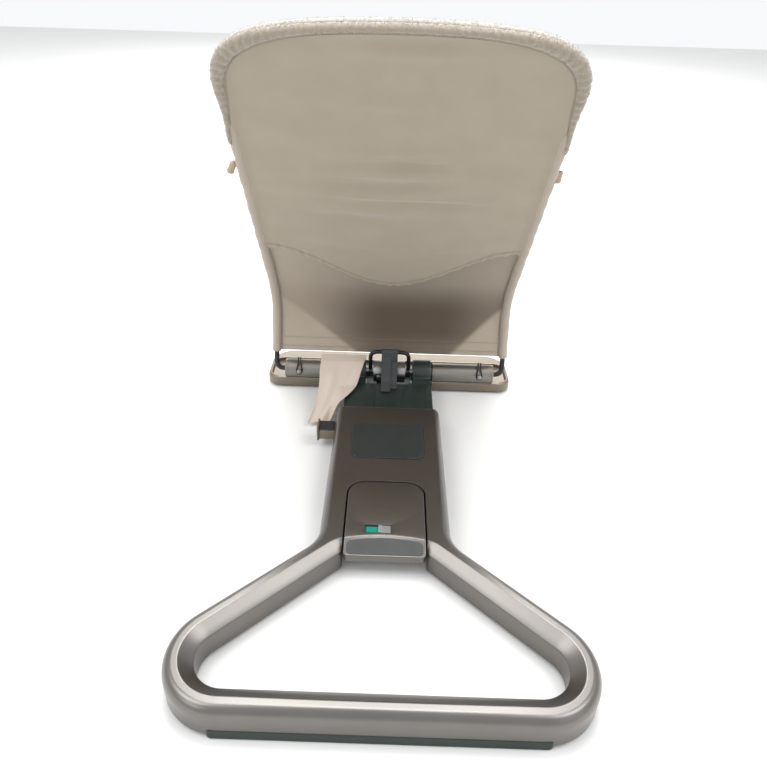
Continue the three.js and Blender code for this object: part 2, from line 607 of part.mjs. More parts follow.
// a cord loop from the seat's lower hem down round the peg
function elasticLoop(side) {
  const out = BARREL.r + 3.6;
  const peg = new THREE.Vector3(
    side * HOOK.x, AXIS.y + out * Math.cos(HOOK.angle), AXIS.z + out * Math.sin(HOOK.angle));
  const hem = new THREE.Vector3(side * HOOK.x, AXIS.y + 7, AXIS.z + 25);
  const up = hem.clone().sub(peg).normalize();
  const across = new THREE.Vector3(1, 0, 0);
  const spot = (x, rise) => peg.clone().addScaledVector(across, x).addScaledVector(up, rise);
  const path = new THREE.CatmullRomCurve3([
    spot(-2, 25), spot(-2.2, 14), spot(-4.8, 4), spot(-4, -3), spot(0, -5.4),
    spot(4, -3), spot(4.8, 4), spot(2.2, 14), spot(2, 25)]);
  return tube(path, 1.2, 6, 26);
}

add('cross_shaft', crossShaft(), COLOUR.steel, 0.3, 1);
add('seat_hoop', seatHoop(), COLOUR.wire, 0.4, 0.6);
for (const [word, side] of [['left', 1], ['right', -1]]) {
  add(`seat_leg_${word}`, seatLeg(side), COLOUR.wire, 0.4, 0.6);
  add(`frame_sleeve_${word}`, frameSleeve(side), COLOUR.black, 0.5);
  add(`barrel_${word}`, barrel(side), COLOUR.silver, 0.35, 0.8);
  add(`end_bush_${word}`, endBush(side), COLOUR.black, 0.5);
  add(`bounce_spring_${word}`, coil(10, 1.5, 6, side > 0 ? 84 : -147, AXIS.y, AXIS.z, 10.5),
    COLOUR.steel, 0.3, 1);
  add(`hook_peg_${word}`, hookPeg(side), COLOUR.silver, 0.4, 0.8);
  add(`elastic_loop_${word}`, elasticLoop(side), COLOUR.webbing, 0.9);
  add(`side_casing_${word}`, sideCasing(side), COLOUR.fabric, 0.9);
}

// ---------------------------------------------------------------- seat: fabric pieces
// half width at t inside the frame, following its rounded upper end
function innerHalf(t, inset) {
  const points = hoopOutline(0, -inset).getSpacedPoints(160);
  const right = points.filter((point) => point.x >= 0);
  const above = right.findIndex((point) => point.y >= t);
  if (above < 1) return WIRE.half - inset;
  const [a, b] = [right[above - 1], right[above]];
  return a.x + ((t - a.y) / (b.y - a.y || 1)) * (b.x - a.x);
}

// even steps up the straight sides, then closer and closer ones round the upper end
function climb(v) {
  const straight = 0.72;
  if (v < straight) return (0.84 * v) / straight;
  return 0.84 + 0.16 * Math.sin((((v - straight) / (1 - straight)) * Math.PI) / 2);
}

// a panel between low(a) and the upper end, front to back between off0 and off1
function panel(low, high, inset, off0, off1, across, along) {
  return warp(across, along, (u, v, w) => {
    const a = 2 * u - 1;
    const t = low(a) + (high - low(a)) * climb(v);
    return seatSpot(a * innerHalf(t, inset), t, (off0 + off1) / 2 - w * (off1 - off0));
  });
}

const SKIN = CASING.outer + 0.5; // the panels end this far inside the frame's centre line
const panelTop = TOP - SKIN - 0.4;
const curvedHem = (a) => 172 + 50 * (1 - Math.cos(Math.PI * a));

// a soft roll round the upper part of the frame, outside the wire
function plushRim() {
  const outline = hoopOutline(468, WIRE.r + 5);
  return warp(40, 1, (u, v, w) => {
    const spot = outline.getPoint(u);
    const along = outline.getTangent(u);
    const out = (v - 0.5) * 7;
    return seatSpot(spot.x + out * along.y, spot.y - out * along.x, w * 18);
  });
}

function strapOnSeat(x0, x1, t0, t1, off0, off1, along) {
  return warp(1, along, (u, v, w) => seatSpot(
    x0 + u * (x1 - x0), t0 + v * (t1 - t0), (off0 + off1) / 2 - w * (off1 - off0)));
}

// loose tail of the cover: from the hem over the barrel, across the chassis and down beside it
function hangingFlap() {
  return warp(8, 10, (u, v, w) => {
    const right = 41 + 19 * v + 28 * v * v;
    const left = 121 + 10 * v ** 4;
    const x = right + (left - right) * u;
    const y = FLAP.y0 + (FLAP.y1 - FLAP.y0) * v;
    const fall = Math.max(0, (v - 0.15) / 0.85);
    const over = FLAP.high - FLAP.dip * Math.min(1, v / 0.15);
    const loose = over - (FLAP.high - FLAP.dip - FLAP.low) * fall;
    const held = Math.max(0, CHASSIS.top + 3.5 - loose);
    const share = Math.min(1, Math.max(0, (98 - x) / 16));
    return new THREE.Vector3(x, y, loose + held * share + w * FLAP.thick);
  });
}

function sideToggle() {
  const spot = seatSpot(WIRE.half + 13.5, 446, 2);
  const barrelKnob = pin(5, -8, 8, 0, 0, 12).rotateY(65 * RAD).translate(spot.x, spot.y, spot.z);
  const cord = box(WIRE.half + 5.6, WIRE.half + 12, spot.y - 1.5, spot.y + 1.5, spot.z - 3, spot.z + 3);
  return join(barrelKnob, cord);
}

function sideTab() {
  const spot = seatSpot(-WIRE.half - 11, 446, 2);
  return box(spot.x - 6, spot.x + 3, spot.y - 2, spot.y + 2, spot.z - 8, spot.z + 8);
}

add('upper_back_panel', panel(curvedHem, panelTop, SKIN, 1.4, 4, 8, 12), COLOUR.fabric, 0.9);
add('lower_back_panel', panel(() => HEM, 330, SKIN, -2.8, -0.4, 4, 12), COLOUR.lining, 0.9);
add('seat_liner', panel(() => HEM + 6, panelTop - 12, SKIN + 5, -21, -9.5, 6, 18), COLOUR.fleece, 0.95);
add('plush_rim', plushRim(), COLOUR.plush, 0.95);
add('hanging_flap', hangingFlap(), COLOUR.lining, 0.9);
add('crotch_strap', strapOnSeat(-22, 22, 70, 190, -27, -24.5, 6), COLOUR.fabric, 0.9);
add('waist_strap_left', strapOnSeat(26, 176, 210, 236, -24.5, -22, 1), COLOUR.webbing, 0.9);
add('waist_strap_right', strapOnSeat(-176, -26, 210, 236, -24.5, -22, 1), COLOUR.webbing, 0.9);
add('harness_buckle', strapOnSeat(-24, 24, 196, 246, -31, -22, 1), COLOUR.black, 0.5);
add('side_toggle', sideToggle(), COLOUR.fabric, 0.8);
add('side_tab', sideTab(), COLOUR.fabric, 0.9);

export default group;
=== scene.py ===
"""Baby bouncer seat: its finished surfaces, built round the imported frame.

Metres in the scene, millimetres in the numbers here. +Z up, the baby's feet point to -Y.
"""

import json
import math

import bmesh
import bpy
import numpy as np
from mathutils import Matrix, Vector
from mathutils.geometry import delaunay_2d_cdt

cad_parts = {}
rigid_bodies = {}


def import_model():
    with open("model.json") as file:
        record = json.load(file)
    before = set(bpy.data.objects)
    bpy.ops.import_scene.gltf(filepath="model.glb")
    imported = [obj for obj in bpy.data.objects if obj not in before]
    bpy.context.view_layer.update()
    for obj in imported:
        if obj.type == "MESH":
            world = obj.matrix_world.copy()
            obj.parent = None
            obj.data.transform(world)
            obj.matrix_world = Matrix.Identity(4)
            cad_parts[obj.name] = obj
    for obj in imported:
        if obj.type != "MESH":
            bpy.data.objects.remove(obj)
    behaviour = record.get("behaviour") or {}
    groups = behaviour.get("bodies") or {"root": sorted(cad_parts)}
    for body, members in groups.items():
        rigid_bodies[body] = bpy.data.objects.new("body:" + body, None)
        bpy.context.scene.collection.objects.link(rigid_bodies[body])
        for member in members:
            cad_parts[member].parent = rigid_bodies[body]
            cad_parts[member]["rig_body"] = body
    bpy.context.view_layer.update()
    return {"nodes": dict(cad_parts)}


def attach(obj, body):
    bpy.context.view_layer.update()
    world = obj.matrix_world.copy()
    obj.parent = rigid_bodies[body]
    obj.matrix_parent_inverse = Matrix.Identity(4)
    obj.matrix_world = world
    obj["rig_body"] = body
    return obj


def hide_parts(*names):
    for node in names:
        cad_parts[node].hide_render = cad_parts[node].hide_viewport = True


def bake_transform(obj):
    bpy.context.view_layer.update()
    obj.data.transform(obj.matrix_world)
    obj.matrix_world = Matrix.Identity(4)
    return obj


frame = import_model()
MM = 0.001
AXIS = np.array([-284.0, 33.0])  # y and z of the line that the seat turns on
TAU = 2 * math.pi
WAVE = TAU / 20  # a wave texture's scale for one band in each unit of length


# ---------------------------------------------------------------- materials
def colour(code):
    """An sRGB hex value as linear RGBA."""
    parts = [int(code[i:i + 2], 16) / 255 for i in (0, 2, 4)]
    return (*[c / 12.92 if c <= 0.04045 else ((c + 0.055) / 1.055) ** 2.4 for c in parts], 1.0)


def add_node(tree, kind, inputs=None, **settings):
    """Adds a node with its settings; an input is a value, or the socket or node that feeds it."""
    node = tree.nodes.new(kind)
    for key, value in settings.items():
        setattr(node, key, value)
    for key, value in (inputs or {}).items():
        if isinstance(value, bpy.types.Node):
            value = value.outputs[0]
        if isinstance(value, bpy.types.NodeSocket):
            tree.links.new(value, node.inputs[key])
        else:
            node.inputs[key].default_value = value
    return node


def new_material(name, on_cloth=False, **shader_values):
    """A material with its tree, its shader and the coordinates that its patterns are laid on."""
    material = bpy.data.materials.new(name)
    material.use_nodes = True
    tree = material.node_tree
    shader = tree.nodes["Principled BSDF"]
    for key, value in shader_values.items():
        shader.inputs[key.replace("_", " ")].default_value = value
    if on_cloth:
        where = add_node(tree, "ShaderNodeUVMap", uv_map="cloth").outputs["UV"]
    else:
        where = add_node(tree, "ShaderNodeTexCoord").outputs["Object"]
    return material, tree, shader, where


def mottle(tree, where, size, low, high, detail=3.0):
    """A noise of blobs about size mm across, as a colour between low and high."""
    noise = add_node(tree, "ShaderNodeTexNoise",
                     {"Vector": where, "Scale": 1 / (size * MM), "Detail": detail, "Roughness": 0.6})
    mix = add_node(tree, "ShaderNodeMix", data_type="RGBA")
    tree.links.new(noise.outputs["Fac"], mix.inputs["Factor"])
    mix.inputs["A"].default_value = colour(low)
    mix.inputs["B"].default_value = colour(high)
    return noise.outputs["Fac"], mix.outputs["Result"]


def surface(tree, shader, tint, height, depth, roughness=None):
    """Links a colour, a bump of depth mm and a span of roughness that follows the same height."""
    tree.links.new(tint, shader.inputs["Base Color"])
    bump = add_node(tree, "ShaderNodeBump", {"Height": height, "Distance": depth * MM, "Strength": 0.6})
    tree.links.new(bump.outputs["Normal"], shader.inputs["Normal"])
    if roughness:
        span = add_node(tree, "ShaderNodeMapRange",
                        {"Value": height, "To Min": roughness[0], "To Max": roughness[1]})
        tree.links.new(span.outputs["Result"], shader.inputs["Roughness"])


def satin_lacquer(name, low, high, metallic=0.85, rough=(0.27, 0.36)):
    """Metallic lacquer sprayed on moulded ABS: flakes soften the mirror into a broad satin sheen, and
    long faint clouds show where the spray overlapped. Real flakes are 0.05 mm, drawn 0.8 mm to show."""
    material, tree, shader, where = new_material(
        name, Metallic=metallic, Roughness=0.3, Coat_Weight=0.15, Coat_Roughness=0.25)
    _, tint = mottle(tree, where, 90, low, high, 4.0)
    flake = add_node(tree, "ShaderNodeTexNoise", {"Vector": where, "Scale": 1 / (0.8 * MM)}).outputs["Fac"]
    surface(tree, shader, tint, flake, 0.012, rough)
    return material


def moulded_plastic(name, low, high, grain=0.6, rough=(0.38, 0.55), depth=0.03, coat=0.0):
    """Polypropylene or ABS straight from a spark-eroded mould: a fine pebble that breaks the shine."""
    material, tree, shader, where = new_material(name, IOR=1.49, Coat_Weight=coat)
    _, tint = mottle(tree, where, 40, low, high)
    pebble = add_node(tree, "ShaderNodeTexVoronoi", {"Vector": where, "Scale": 1 / (grain * MM)})
    surface(tree, shader, tint, pebble.outputs["Distance"], depth, rough)
    return material


def drawn_metal(name, low, high, rough):
    """Zinc-plated steel or anodised aluminium: fine draw lines along the bar stretch the highlight."""
    material, tree, shader, where = new_material(name, Metallic=1.0)
    lines = add_node(tree, "ShaderNodeMapping", {"Vector": where, "Scale": (1, 40, 40)})
    height, tint = mottle(tree, lines.outputs["Vector"], 12, low, high, 2.0)
    surface(tree, shader, tint, height, 0.01, rough)
    return material


def woven_cloth(name, low, high, thread=1.3, depth=0.12, sheen=0.25, painted_shade_tone=None):
    """Cotton-mix twill: diagonal ribs catch light on one side, and the yarn's slubs vary the shade.
    Real ribs stand 0.5 mm apart, drawn coarser to show. The shade tone, when given, is painted shade: the
    cloth's colour where a vertex attribute marks the painted shadow of the layer behind it."""
    material, tree, shader, where = new_material(
        name, True, Roughness=0.88, Sheen_Weight=sheen, Sheen_Roughness=0.45)
    turn = add_node(tree, "ShaderNodeMapping", {"Vector": where, "Rotation": (0, 0, math.radians(52))})
    ribs = add_node(tree, "ShaderNodeTexWave",
                    {"Vector": turn, "Scale": WAVE / (thread * MM), "Distortion": 0.6, "Detail": 1.0})
    _, tint = mottle(tree, where, 55, low, high, 5.0)
    slub = add_node(tree, "ShaderNodeTexNoise", {"Vector": where, "Scale": 1 / (2.2 * MM), "Detail": 2.0})
    weave = add_node(tree, "ShaderNodeMath", {0: ribs.outputs["Fac"], 1: slub.outputs["Fac"]},
                     operation="MULTIPLY")
    # painted shade: the colour runs towards the shade tone as far as the vertex attribute says
    if painted_shade_tone:
        painted_shade_share = add_node(tree, "ShaderNodeAttribute", attribute_name="painted_shade").outputs["Fac"]
        mix = add_node(tree, "ShaderNodeMix", data_type="RGBA")
        tree.links.new(painted_shade_share, mix.inputs["Factor"])
        tree.links.new(tint, mix.inputs["A"])
        mix.inputs["B"].default_value = colour(painted_shade_tone)
        tint = mix.outputs["Result"]
    surface(tree, shader, tint, weave.outputs["Value"], depth)
    return material


def pile_cloth(name, low, high, tuft=2.4, depth=0.9):
    """Short-pile plush: tufts scatter light, so it is pale at grazing edges, and painted shade makes it deep
    between tufts.
    """
    material, tree, shader, where = new_material(
        name, Roughness=0.95, Sheen_Weight=0.6, Sheen_Roughness=0.6)
    # one noise sets both the bump and the colour, so the low places between tufts carry painted shade
    height, tint = mottle(tree, where, tuft, low, high, 6.0)
    surface(tree, shader, tint, height, depth)
    return material


def band_webbing(name, low, high):
    """Polyester webbing: tight ribs across the band and a dull synthetic sheen."""
    material, tree, shader, where = new_material(
        name, True, Roughness=0.62, Sheen_Weight=0.2, Sheen_Roughness=0.4)
    ribs = add_node(tree, "ShaderNodeTexWave",
                    {"Vector": where, "Scale": WAVE / (1.4 * MM), "Distortion": 0.8, "Detail": 1.0},
                    bands_direction="Y")
    _, tint = mottle(tree, where, 6, low, high)
    surface(tree, shader, tint, ribs.outputs["Fac"], 0.2)
    return material


SATIN = satin_lacquer("satin_lacquered_shell", "6b6865", "787470", 0.92)
TAUPE = satin_lacquer("taupe_lacquered_foot", "6f6659", "7c7264", 0.6, (0.32, 0.42))
BLACK = moulded_plastic("black_polypropylene", "161d1b", "202a28")
CHASSIS_PLASTIC = moulded_plastic("green_black_nylon", "18211f", "2a3834", 0.8, (0.3, 0.45))
STRIP_RUBBER = moulded_plastic("grip_strip_rubber", "222b28", "313b38", 0.5, (0.6, 0.8), 0.05)
PAD_RUBBER = moulded_plastic("ribbed_pad_rubber", "3f4141", "4d4f4e", 0.5, (0.55, 0.75), 0.03)
SLATE = moulded_plastic("soft_touch_slate", "252929", "303535", 0.4, (0.34, 0.46), 0.015)
BUTTON_DARK = moulded_plastic("button_dark_nylon", "26282a", "303234", 0.5, (0.4, 0.55))
STEEL = drawn_metal("zinc_plated_steel", "8d8d8b", "a4a4a2", (0.28, 0.42))
BARREL_SATIN = drawn_metal("satin_anodised_aluminium", "807c76", "908c86", (0.3, 0.4))
WIRE_BLACK = moulded_plastic("powder_coated_wire", "0b0c0d", "141617", 0.5, (0.32, 0.45), 0.02)
TEAL = moulded_plastic("teal_gloss_acrylic", "02806c", "04917b", 0.6, (0.2, 0.3), 0.004, 0.4)
SILVER = satin_lacquer("silver_lacquered_slider", "a2a4a4", "b0b2b2", 0.6, (0.3, 0.4))
CANVAS = woven_cloth("upper_twill", "918777", "9e9485")
# the lower cloth's dark tone is painted shade, laid on through its vertex attribute
LINING = woven_cloth("lower_twill", "988d7d", "a59a8b", painted_shade_tone="54473b")
CASING_CLOTH = woven_cloth("casing_twill", "9a9083", "a69c8f")
FLAP_CLOTH = woven_cloth("flap_plain_weave", "bdafa3", "ccbfb3", 0.9, 0.06)
TAN_TAPE = woven_cloth("tan_tape", "98866f", "ab9a83", 0.8, 0.15)
FLEECE = pile_cloth("white_fleece", "a19b90", "b8b2a7", 3.0, 1.0)
PLUSH = pile_cloth("beige_plush", "82786a", "978d7c")
WEBBING = band_webbing("dark_webbing", "2b2d2f", "3a3d3e")
ELASTIC = band_webbing("black_elastic", "0d0d0d", "181818")
THREAD = moulded_plastic("sewing_thread", "84796a", "8f8474", 0.5, (0.6, 0.8), 0.01)


# ---------------------------------------------------------------- mesh helpers
def settle(obj, body, material, replaces=(), angle=35):
    """Gives a piece its finish, its shading and the CAD body that it rides on."""
    if material:
        obj.data.materials.clear()
        obj.data.materials.append(material)
    obj.data.shade_smooth()
    obj.data.set_sharp_from_angle(angle=math.radians(angle))
    if replaces:
        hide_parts(*replaces)
    if body:
        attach(obj, body)
    return obj


def piece(name, points, faces, uvs=None):
    """A mesh object from points in mm; uvs are one pair for each point."""
    mesh = bpy.data.meshes.new(name)
    mesh.from_pydata([tuple(float(c) * MM for c in p) for p in points], [], faces)
    if uvs is not None:
        layer = mesh.uv_layers.new(name="cloth")
        corner = np.array([loop.vertex_index for loop in mesh.loops])
        layer.data.foreach_set("uv", np.asarray(uvs, float)[corner].astype(np.float32).ravel())
    obj = bpy.data.objects.new(name, mesh)
    bpy.context.scene.collection.objects.link(obj)
    return obj


def tidy(obj):
    """Merges doubled points and turns every face outwards."""
    work = bmesh.new()
    work.from_mesh(obj.data)
    bmesh.ops.remove_doubles(work, verts=work.verts, dist=0.01 * MM)
    bmesh.ops.recalc_face_normals(work, faces=work.faces)
    work.to_mesh(obj.data)
    work.free()
    return obj


def bake(obj):
    """Replaces the object's mesh by what its modifiers make, and removes them."""
    graph = bpy.context.evaluated_depsgraph_get()
    made = bpy.data.meshes.new_from_object(obj.evaluated_get(graph))
    obj.modifiers.clear()
    obj.data = made
    return obj


def modify(obj, kind, **settings):
    """Adds a modifier with its settings."""
    modifier = obj.modifiers.new(kind.lower(), kind)
    for key, value in settings.items():
        setattr(modifier, key, value)
    return modifier


def loft(rings, loop=True, start=False, end=False):
    """Faces between rings of equal length; start and end close them with one face."""
    n, last = len(rings[0]), len(rings) - 1
    faces = []
    for row in range(last):
        for j in range(n if loop else n - 1):
            a, b = row * n + j, row * n + (j + 1) % n
            faces.append((a, b, b + n, a + n))
    if start:
        faces.append(tuple(range(n - 1, -1, -1)))
    if end:
        faces.append(tuple(range(last * n, last * n + n)))
    return [p for ring in rings for p in ring], faces


def merge_parts(name, parts):
    """One object from several lists of points and faces."""
    points, faces = [], []
    for more, fresh in parts:
        faces += [tuple(i + len(points) for i in f) for f in fresh]
        points += list(more)
    return tidy(piece(name, points, faces))


def inside(outline, x, y):
    """Whether a point is inside a plan outline, by counting the edges that it has on one side."""
    px, py = outline[:, 0], outline[:, 1]
    qx, qy = np.roll(px, -1), np.roll(py, -1)
    with np.errstate(divide="ignore", invalid="ignore"):
        cross = (px - qx) * (y - py) / (py - qy) + px
    return np.count_nonzero(((py > y) != (qy > y)) & (x < cross)) % 2 == 1


def flat_between(outer, holes, z):
    """Triangles at height z inside an outline and outside its holes."""
    loops = [np.asarray(outer, float)] + [np.asarray(h, float) for h in holes]
    spots, edges = [], []
    for loop in loops:
        first = len(spots)
        spots += [Vector(p) for p in loop]
        edges += [(first + i, first + (i + 1) % len(loop)) for i in range(len(loop))]
    found, _, faces, *_ = delaunay_2d_cdt(spots, edges, [], 0, 1e-6)
    kept = []
    for f in faces:
        x, y = sum((found[i] for i in f), Vector((0, 0))) / len(f)
        if inside(loops[0], x, y) and not any(inside(h, x, y) for h in loops[1:]):
            kept.append(tuple(f))
    return [(p.x, p.y, z) for p in found], kept


def arc(cx, cy, r, a0, a1, n):
    """n points on an arc from a0 to a1 degrees."""
    a = np.radians(np.linspace(a0, a1, n))
    return np.stack([cx + r * np.cos(a), cy + r * np.sin(a)], 1)


def round_rect(x0, x1, y0, y1, r_front, r_rear, grow=0.0, n=10):
    """A plan outline, anticlockwise, with its own radii at the front (low y) and rear corners."""
    f, b = max(r_front + grow, 0.05), max(r_rear + grow, 0.05)
    x0, x1, y0, y1 = x0 - grow, x1 + grow, y0 - grow, y1 + grow
    return np.concatenate([
        arc(x1 - f, y0 + f, f, -90, 0, n), arc(x1 - b, y1 - b, b, 0, 90, n),
        arc(x0 + b, y1 - b, b, 90, 180, n), arc(x0 + f, y0 + f, f, 180, 270, n)])


def raised(outline, z):
    return [(x, y, z) for x, y in outline]


def rounded_slab(outline, low, high, edge, under=0.4, steps=5):
    """A slab on a plan outline (a function of grow) with its upper edge rounded."""
    rings = [raised(outline(-under), low), raised(outline(0), low + under),
             raised(outline(0), high - edge)]
    for i in range(1, steps + 1):
        a = math.pi / 2 * i / steps
        rings.append(raised(outline(-edge * (1 - math.cos(a))), high - edge * (1 - math.sin(a))))
    rings.append(raised(outline(-edge - 0.4), high))
    return loft(rings, True, True, True)


def tube(line, radius, sides=12):
    """A tube along points in mm, with rounded-off ends; its radius may change along it."""
    line = np.asarray(line, float)
    radius = np.broadcast_to(np.asarray(radius, float), (len(line),))
    step = np.gradient(line, axis=0)
    step /= np.linalg.norm(step, axis=1)[:, None]
    side = np.cross(step[0], (0, 0, 1.0) if abs(step[0][2]) < 0.9 else (1.0, 0, 0))
    a = np.linspace(0, TAU, sides, endpoint=False)
    rings = []
    for p, t, r in zip(line, step, radius):
        side = side - t * side.dot(t)
        side /= np.linalg.norm(side)
        rings.append(p + r * (np.cos(a)[:, None] * side + np.sin(a)[:, None] * np.cross(t, side)))
    caps = [rings[i] * 0.55 + line[i] * 0.45 + way * step[i] * radius[i] * 0.25
            for i, way in ((0, -1), (-1, 1))]
    return loft([caps[0]] + rings + [caps[1]], True, True, True)


def along_uv(points, sides, pitch=2.0):
    """UV for a lofted tube: round it and along it, in metres."""
    n = len(points) // sides
    return [((j / sides) * 0.01, i * pitch * MM) for i in range(n) for j in range(sides)]


def lathe(profile, y, z, segments=48):
    """Rings of a turned piece on a line parallel to X; profile points are (x, radius)."""
    turn = np.linspace(0, TAU, segments, endpoint=False)
    return [[(x, y + r * math.cos(a), z + r * math.sin(a)) for a in turn] for x, r in profile]


def cut(obj, name, rings):
    """Takes the solid between the rings out of a piece."""
    cutter = merge_parts(name, [loft(rings, True, True, True)])
    modify(obj, "BOOLEAN", object=cutter, operation="DIFFERENCE", solver="EXACT")
    bake(obj)
    bpy.data.objects.remove(cutter)


def softened(node, width, material, segments=2):
    """The CAD node's own shape with its machined or moulded edges eased; it stands for the node."""
    source = frame["nodes"][node]
    copy = piece(node + "_part", [], [])
    copy.data = source.data.copy()
    work = bmesh.new()
    work.from_mesh(copy.data)
    bmesh.ops.remove_doubles(work, verts=work.verts, dist=2e-5)
    bmesh.ops.dissolve_limit(work, angle_limit=math.radians(3), verts=work.verts, edges=work.edges)
    work.to_mesh(copy.data)
    work.free()
    modify(copy, "BEVEL", width=width * MM, segments=segments, limit_method="ANGLE",
           angle_limit=math.radians(30), use_clamp_overlap=True)
    bake(copy)
    return settle(copy, source["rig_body"], material, [node])


# ---------------------------------------------------------------- geometry-node makers
def node_maker(name, sizes, places=()):
    """An empty geometry tree with named inputs; gives the tree, its inputs and its output node."""
    tree = bpy.data.node_groups.new(name, "GeometryNodeTree")
    inputs = [("Geometry", "Geometry"), *((label, "Float") for label in sizes),
              *((label, "Vector") for label in places), ("Material", "Material")]
    for label, kind in inputs:
        tree.interface.new_socket(label, in_out="INPUT", socket_type="NodeSocket" + kind)
    tree.interface.new_socket("Geometry", in_out="OUTPUT", socket_type="NodeSocketGeometry")
    return tree, add_node(tree, "NodeGroupInput").outputs, add_node(tree, "NodeGroupOutput")


def close_maker(tree, given, leave, shape):
    """Realises what was placed and gives it its material."""
    real = add_node(tree, "GeometryNodeRealizeInstances", {"Geometry": shape})
    painted = add_node(tree, "GeometryNodeSetMaterial", {"Geometry": real, "Material": given["Material"]})
    tree.links.new(painted.outputs[0], leave.inputs[0])
    return tree


def stitch_maker():
    """Stitches laid end to end along a line, each a fat little grain of thread."""
    tree, given, leave = node_maker("stitches", ("Pitch", "Half Length", "Thread Radius"))
    line = add_node(tree, "GeometryNodeMeshToCurve", {"Mesh": given["Geometry"]})
    even = add_node(tree, "GeometryNodeResampleCurve", {"Curve": line, "Length": given["Pitch"]},
                    mode="LENGTH")
    grain = add_node(tree, "GeometryNodeMeshUVSphere", {"Segments": 6, "Rings": 5, "Radius": 1.0})
    size = add_node(tree, "ShaderNodeCombineXYZ", {"X": given["Thread Radius"], "Y": given["Thread Radius"],
                                                   "Z": given["Half Length"]})
    tangent = add_node(tree, "GeometryNodeInputTangent")
    turn = add_node(tree, "FunctionNodeAlignEulerToVector", {"Vector": tangent}, axis="Z")
    laid = add_node(tree, "GeometryNodeInstanceOnPoints",
                    {"Points": even, "Instance": grain, "Rotation": turn, "Scale": size})
    return close_maker(tree, given, leave, laid)


def pile_maker():
    """Short tufts standing on a cloth, leaning a little at random, from a fixed seed."""
    tree, given, leave = node_maker("pile", ("Density", "Tuft Height", "Tuft Radius"))
    spots = add_node(tree, "GeometryNodeDistributePointsOnFaces",
                     {"Mesh": given["Geometry"], "Density": given["Density"], "Seed": 7})
    tuft = add_node(tree, "GeometryNodeMeshCone",
                    {"Vertices": 3, "Radius Top": 0.0, "Radius Bottom": given["Tuft Radius"],
                     "Depth": given["Tuft Height"]})
    size = add_node(tree, "FunctionNodeRandomValue", {2: 0.5, 3: 1.15, "Seed": 3}, data_type="FLOAT")
    set_up = add_node(tree, "GeometryNodeInstanceOnPoints",
                      {"Points": spots.outputs["Points"], "Instance": tuft,
                       "Rotation": spots.outputs["Rotation"], "Scale": size.outputs[1]})
    lean = add_node(tree, "FunctionNodeRandomValue",
                    {0: (-0.6, -0.6, 0.0), 1: (0.6, 0.6, 6.0), "Seed": 5}, data_type="FLOAT_VECTOR")
    leant = add_node(tree, "GeometryNodeRotateInstances", {"Instances": set_up, "Rotation": lean})
    return close_maker(tree, given, leave, leant)


def spring_maker():
    """A coil spring: a wire wound evenly on a cylinder."""
    tree, given, leave = node_maker("coil_spring", ("Turns", "Coil Radius", "Length", "Wire Radius"),
                                    ("Place",))
    path = add_node(tree, "GeometryNodeCurveSpiral",
                    {"Resolution": 24, "Rotations": given["Turns"], "Start Radius": given["Coil Radius"],
                     "End Radius": given["Coil Radius"], "Height": given["Length"]})
    section = add_node(tree, "GeometryNodeCurvePrimitiveCircle",
                       {"Resolution": 8, "Radius": given["Wire Radius"]})
    wound = add_node(tree, "GeometryNodeCurveToMesh",
                     {"Curve": path, "Profile Curve": section, "Fill Caps": True})
    placed = add_node(tree, "GeometryNodeTransform", {"Geometry": wound, "Translation": given["Place"],
                                                      "Rotation": (0, math.radians(90), 0)})
    return close_maker(tree, given, leave, placed)


def grown(name, tree, source, values, body, replaces=()):
    """Runs a geometry tree on a source mesh and keeps its result as a plain piece."""
    obj = source or piece(name, [(0, 0, 0)], [])
    modifier = modify(obj, "NODES", node_group=tree)
    for item in tree.interface.items_tree:
        if item.in_out == "INPUT" and item.name in values:
            modifier[item.identifier] = values[item.name]
    graph = bpy.context.evaluated_depsgraph_get()
    made = bpy.data.meshes.new_from_object(obj.evaluated_get(graph))
    bpy.data.objects.remove(obj)
    result = bpy.data.objects.new(name, made)
    bpy.context.scene.collection.objects.link(result)
    return settle(result, body, None, replaces, 60)


STITCH, PILE, SPRING = stitch_maker(), pile_maker(), spring_maker()


def stitch_line(name, line, pitch=4.2, half=1.5):
    """A row of topstitching on the seat along points in mm."""
    points = [tuple(p) for p in line]
    obj = piece(name + "_line", points, [])
    obj.data.edges.add(len(points) - 1)
    for i, edge in enumerate(obj.data.edges):
        edge.vertices = (i, i + 1)
    return grown(name, STITCH, obj, {"Pitch": pitch * MM, "Half Length": half * MM,
                                     "Thread Radius": 0.45 * MM, "Material": THREAD}, "seat")


# ---------------------------------------------------------------- base: cover of spine and loop
HALF, REAR, CORNER_R, BAR, ARM = 226.0, 374.0, 67.0, 32.0, 44.0  # the loop; ARM in degrees from X
SPINE_HALF, SPINE_FRONT, SPINE_R, FILLET = 83.5, -160.0, 12.0, 50.0
TOP, BOTTOM, WALL = 42.0, 5.0, 2.4
ROUND_W, ROUND_H, FLAT_IN = 10.5, 14.0, 11.1  # the outer edge's rounding, and where the flat begins
CX, CY = HALF - CORNER_R, REAR - CORNER_R
SIN, COS, TAN = math.sin(math.radians(ARM)), math.cos(math.radians(ARM)), math.tan(math.radians(ARM))
SLOPE_W, SLOPE_D = 15.0, 10.0
BREAK_R, BREAK_Y = 187.0, 134.0  # the crease where the flat top starts to fall towards the loop
GAP_X, GAP_R, GAP_FRONT, GAP_LIP = 53.0, 10.0, 32.0, 1.6  # the pedal's well
PEDAL_HALF, PEDAL_R, PEDAL_FRONT, PEDAL_REAR = 50.0, 23.0, 35.0, 162.0


def arm_y(r, x):
    """Where a line along the arm, r out from the loop corner's middle, is at x."""
    return CY - r * COS + (x - CX - r * SIN) * TAN


SIDE_SIN = GAP_X / BREAK_R
SIDE_COS = math.sqrt(1 - SIDE_SIN ** 2)
SIDE_Y = BREAK_Y + BREAK_R * (1 - SIDE_COS)
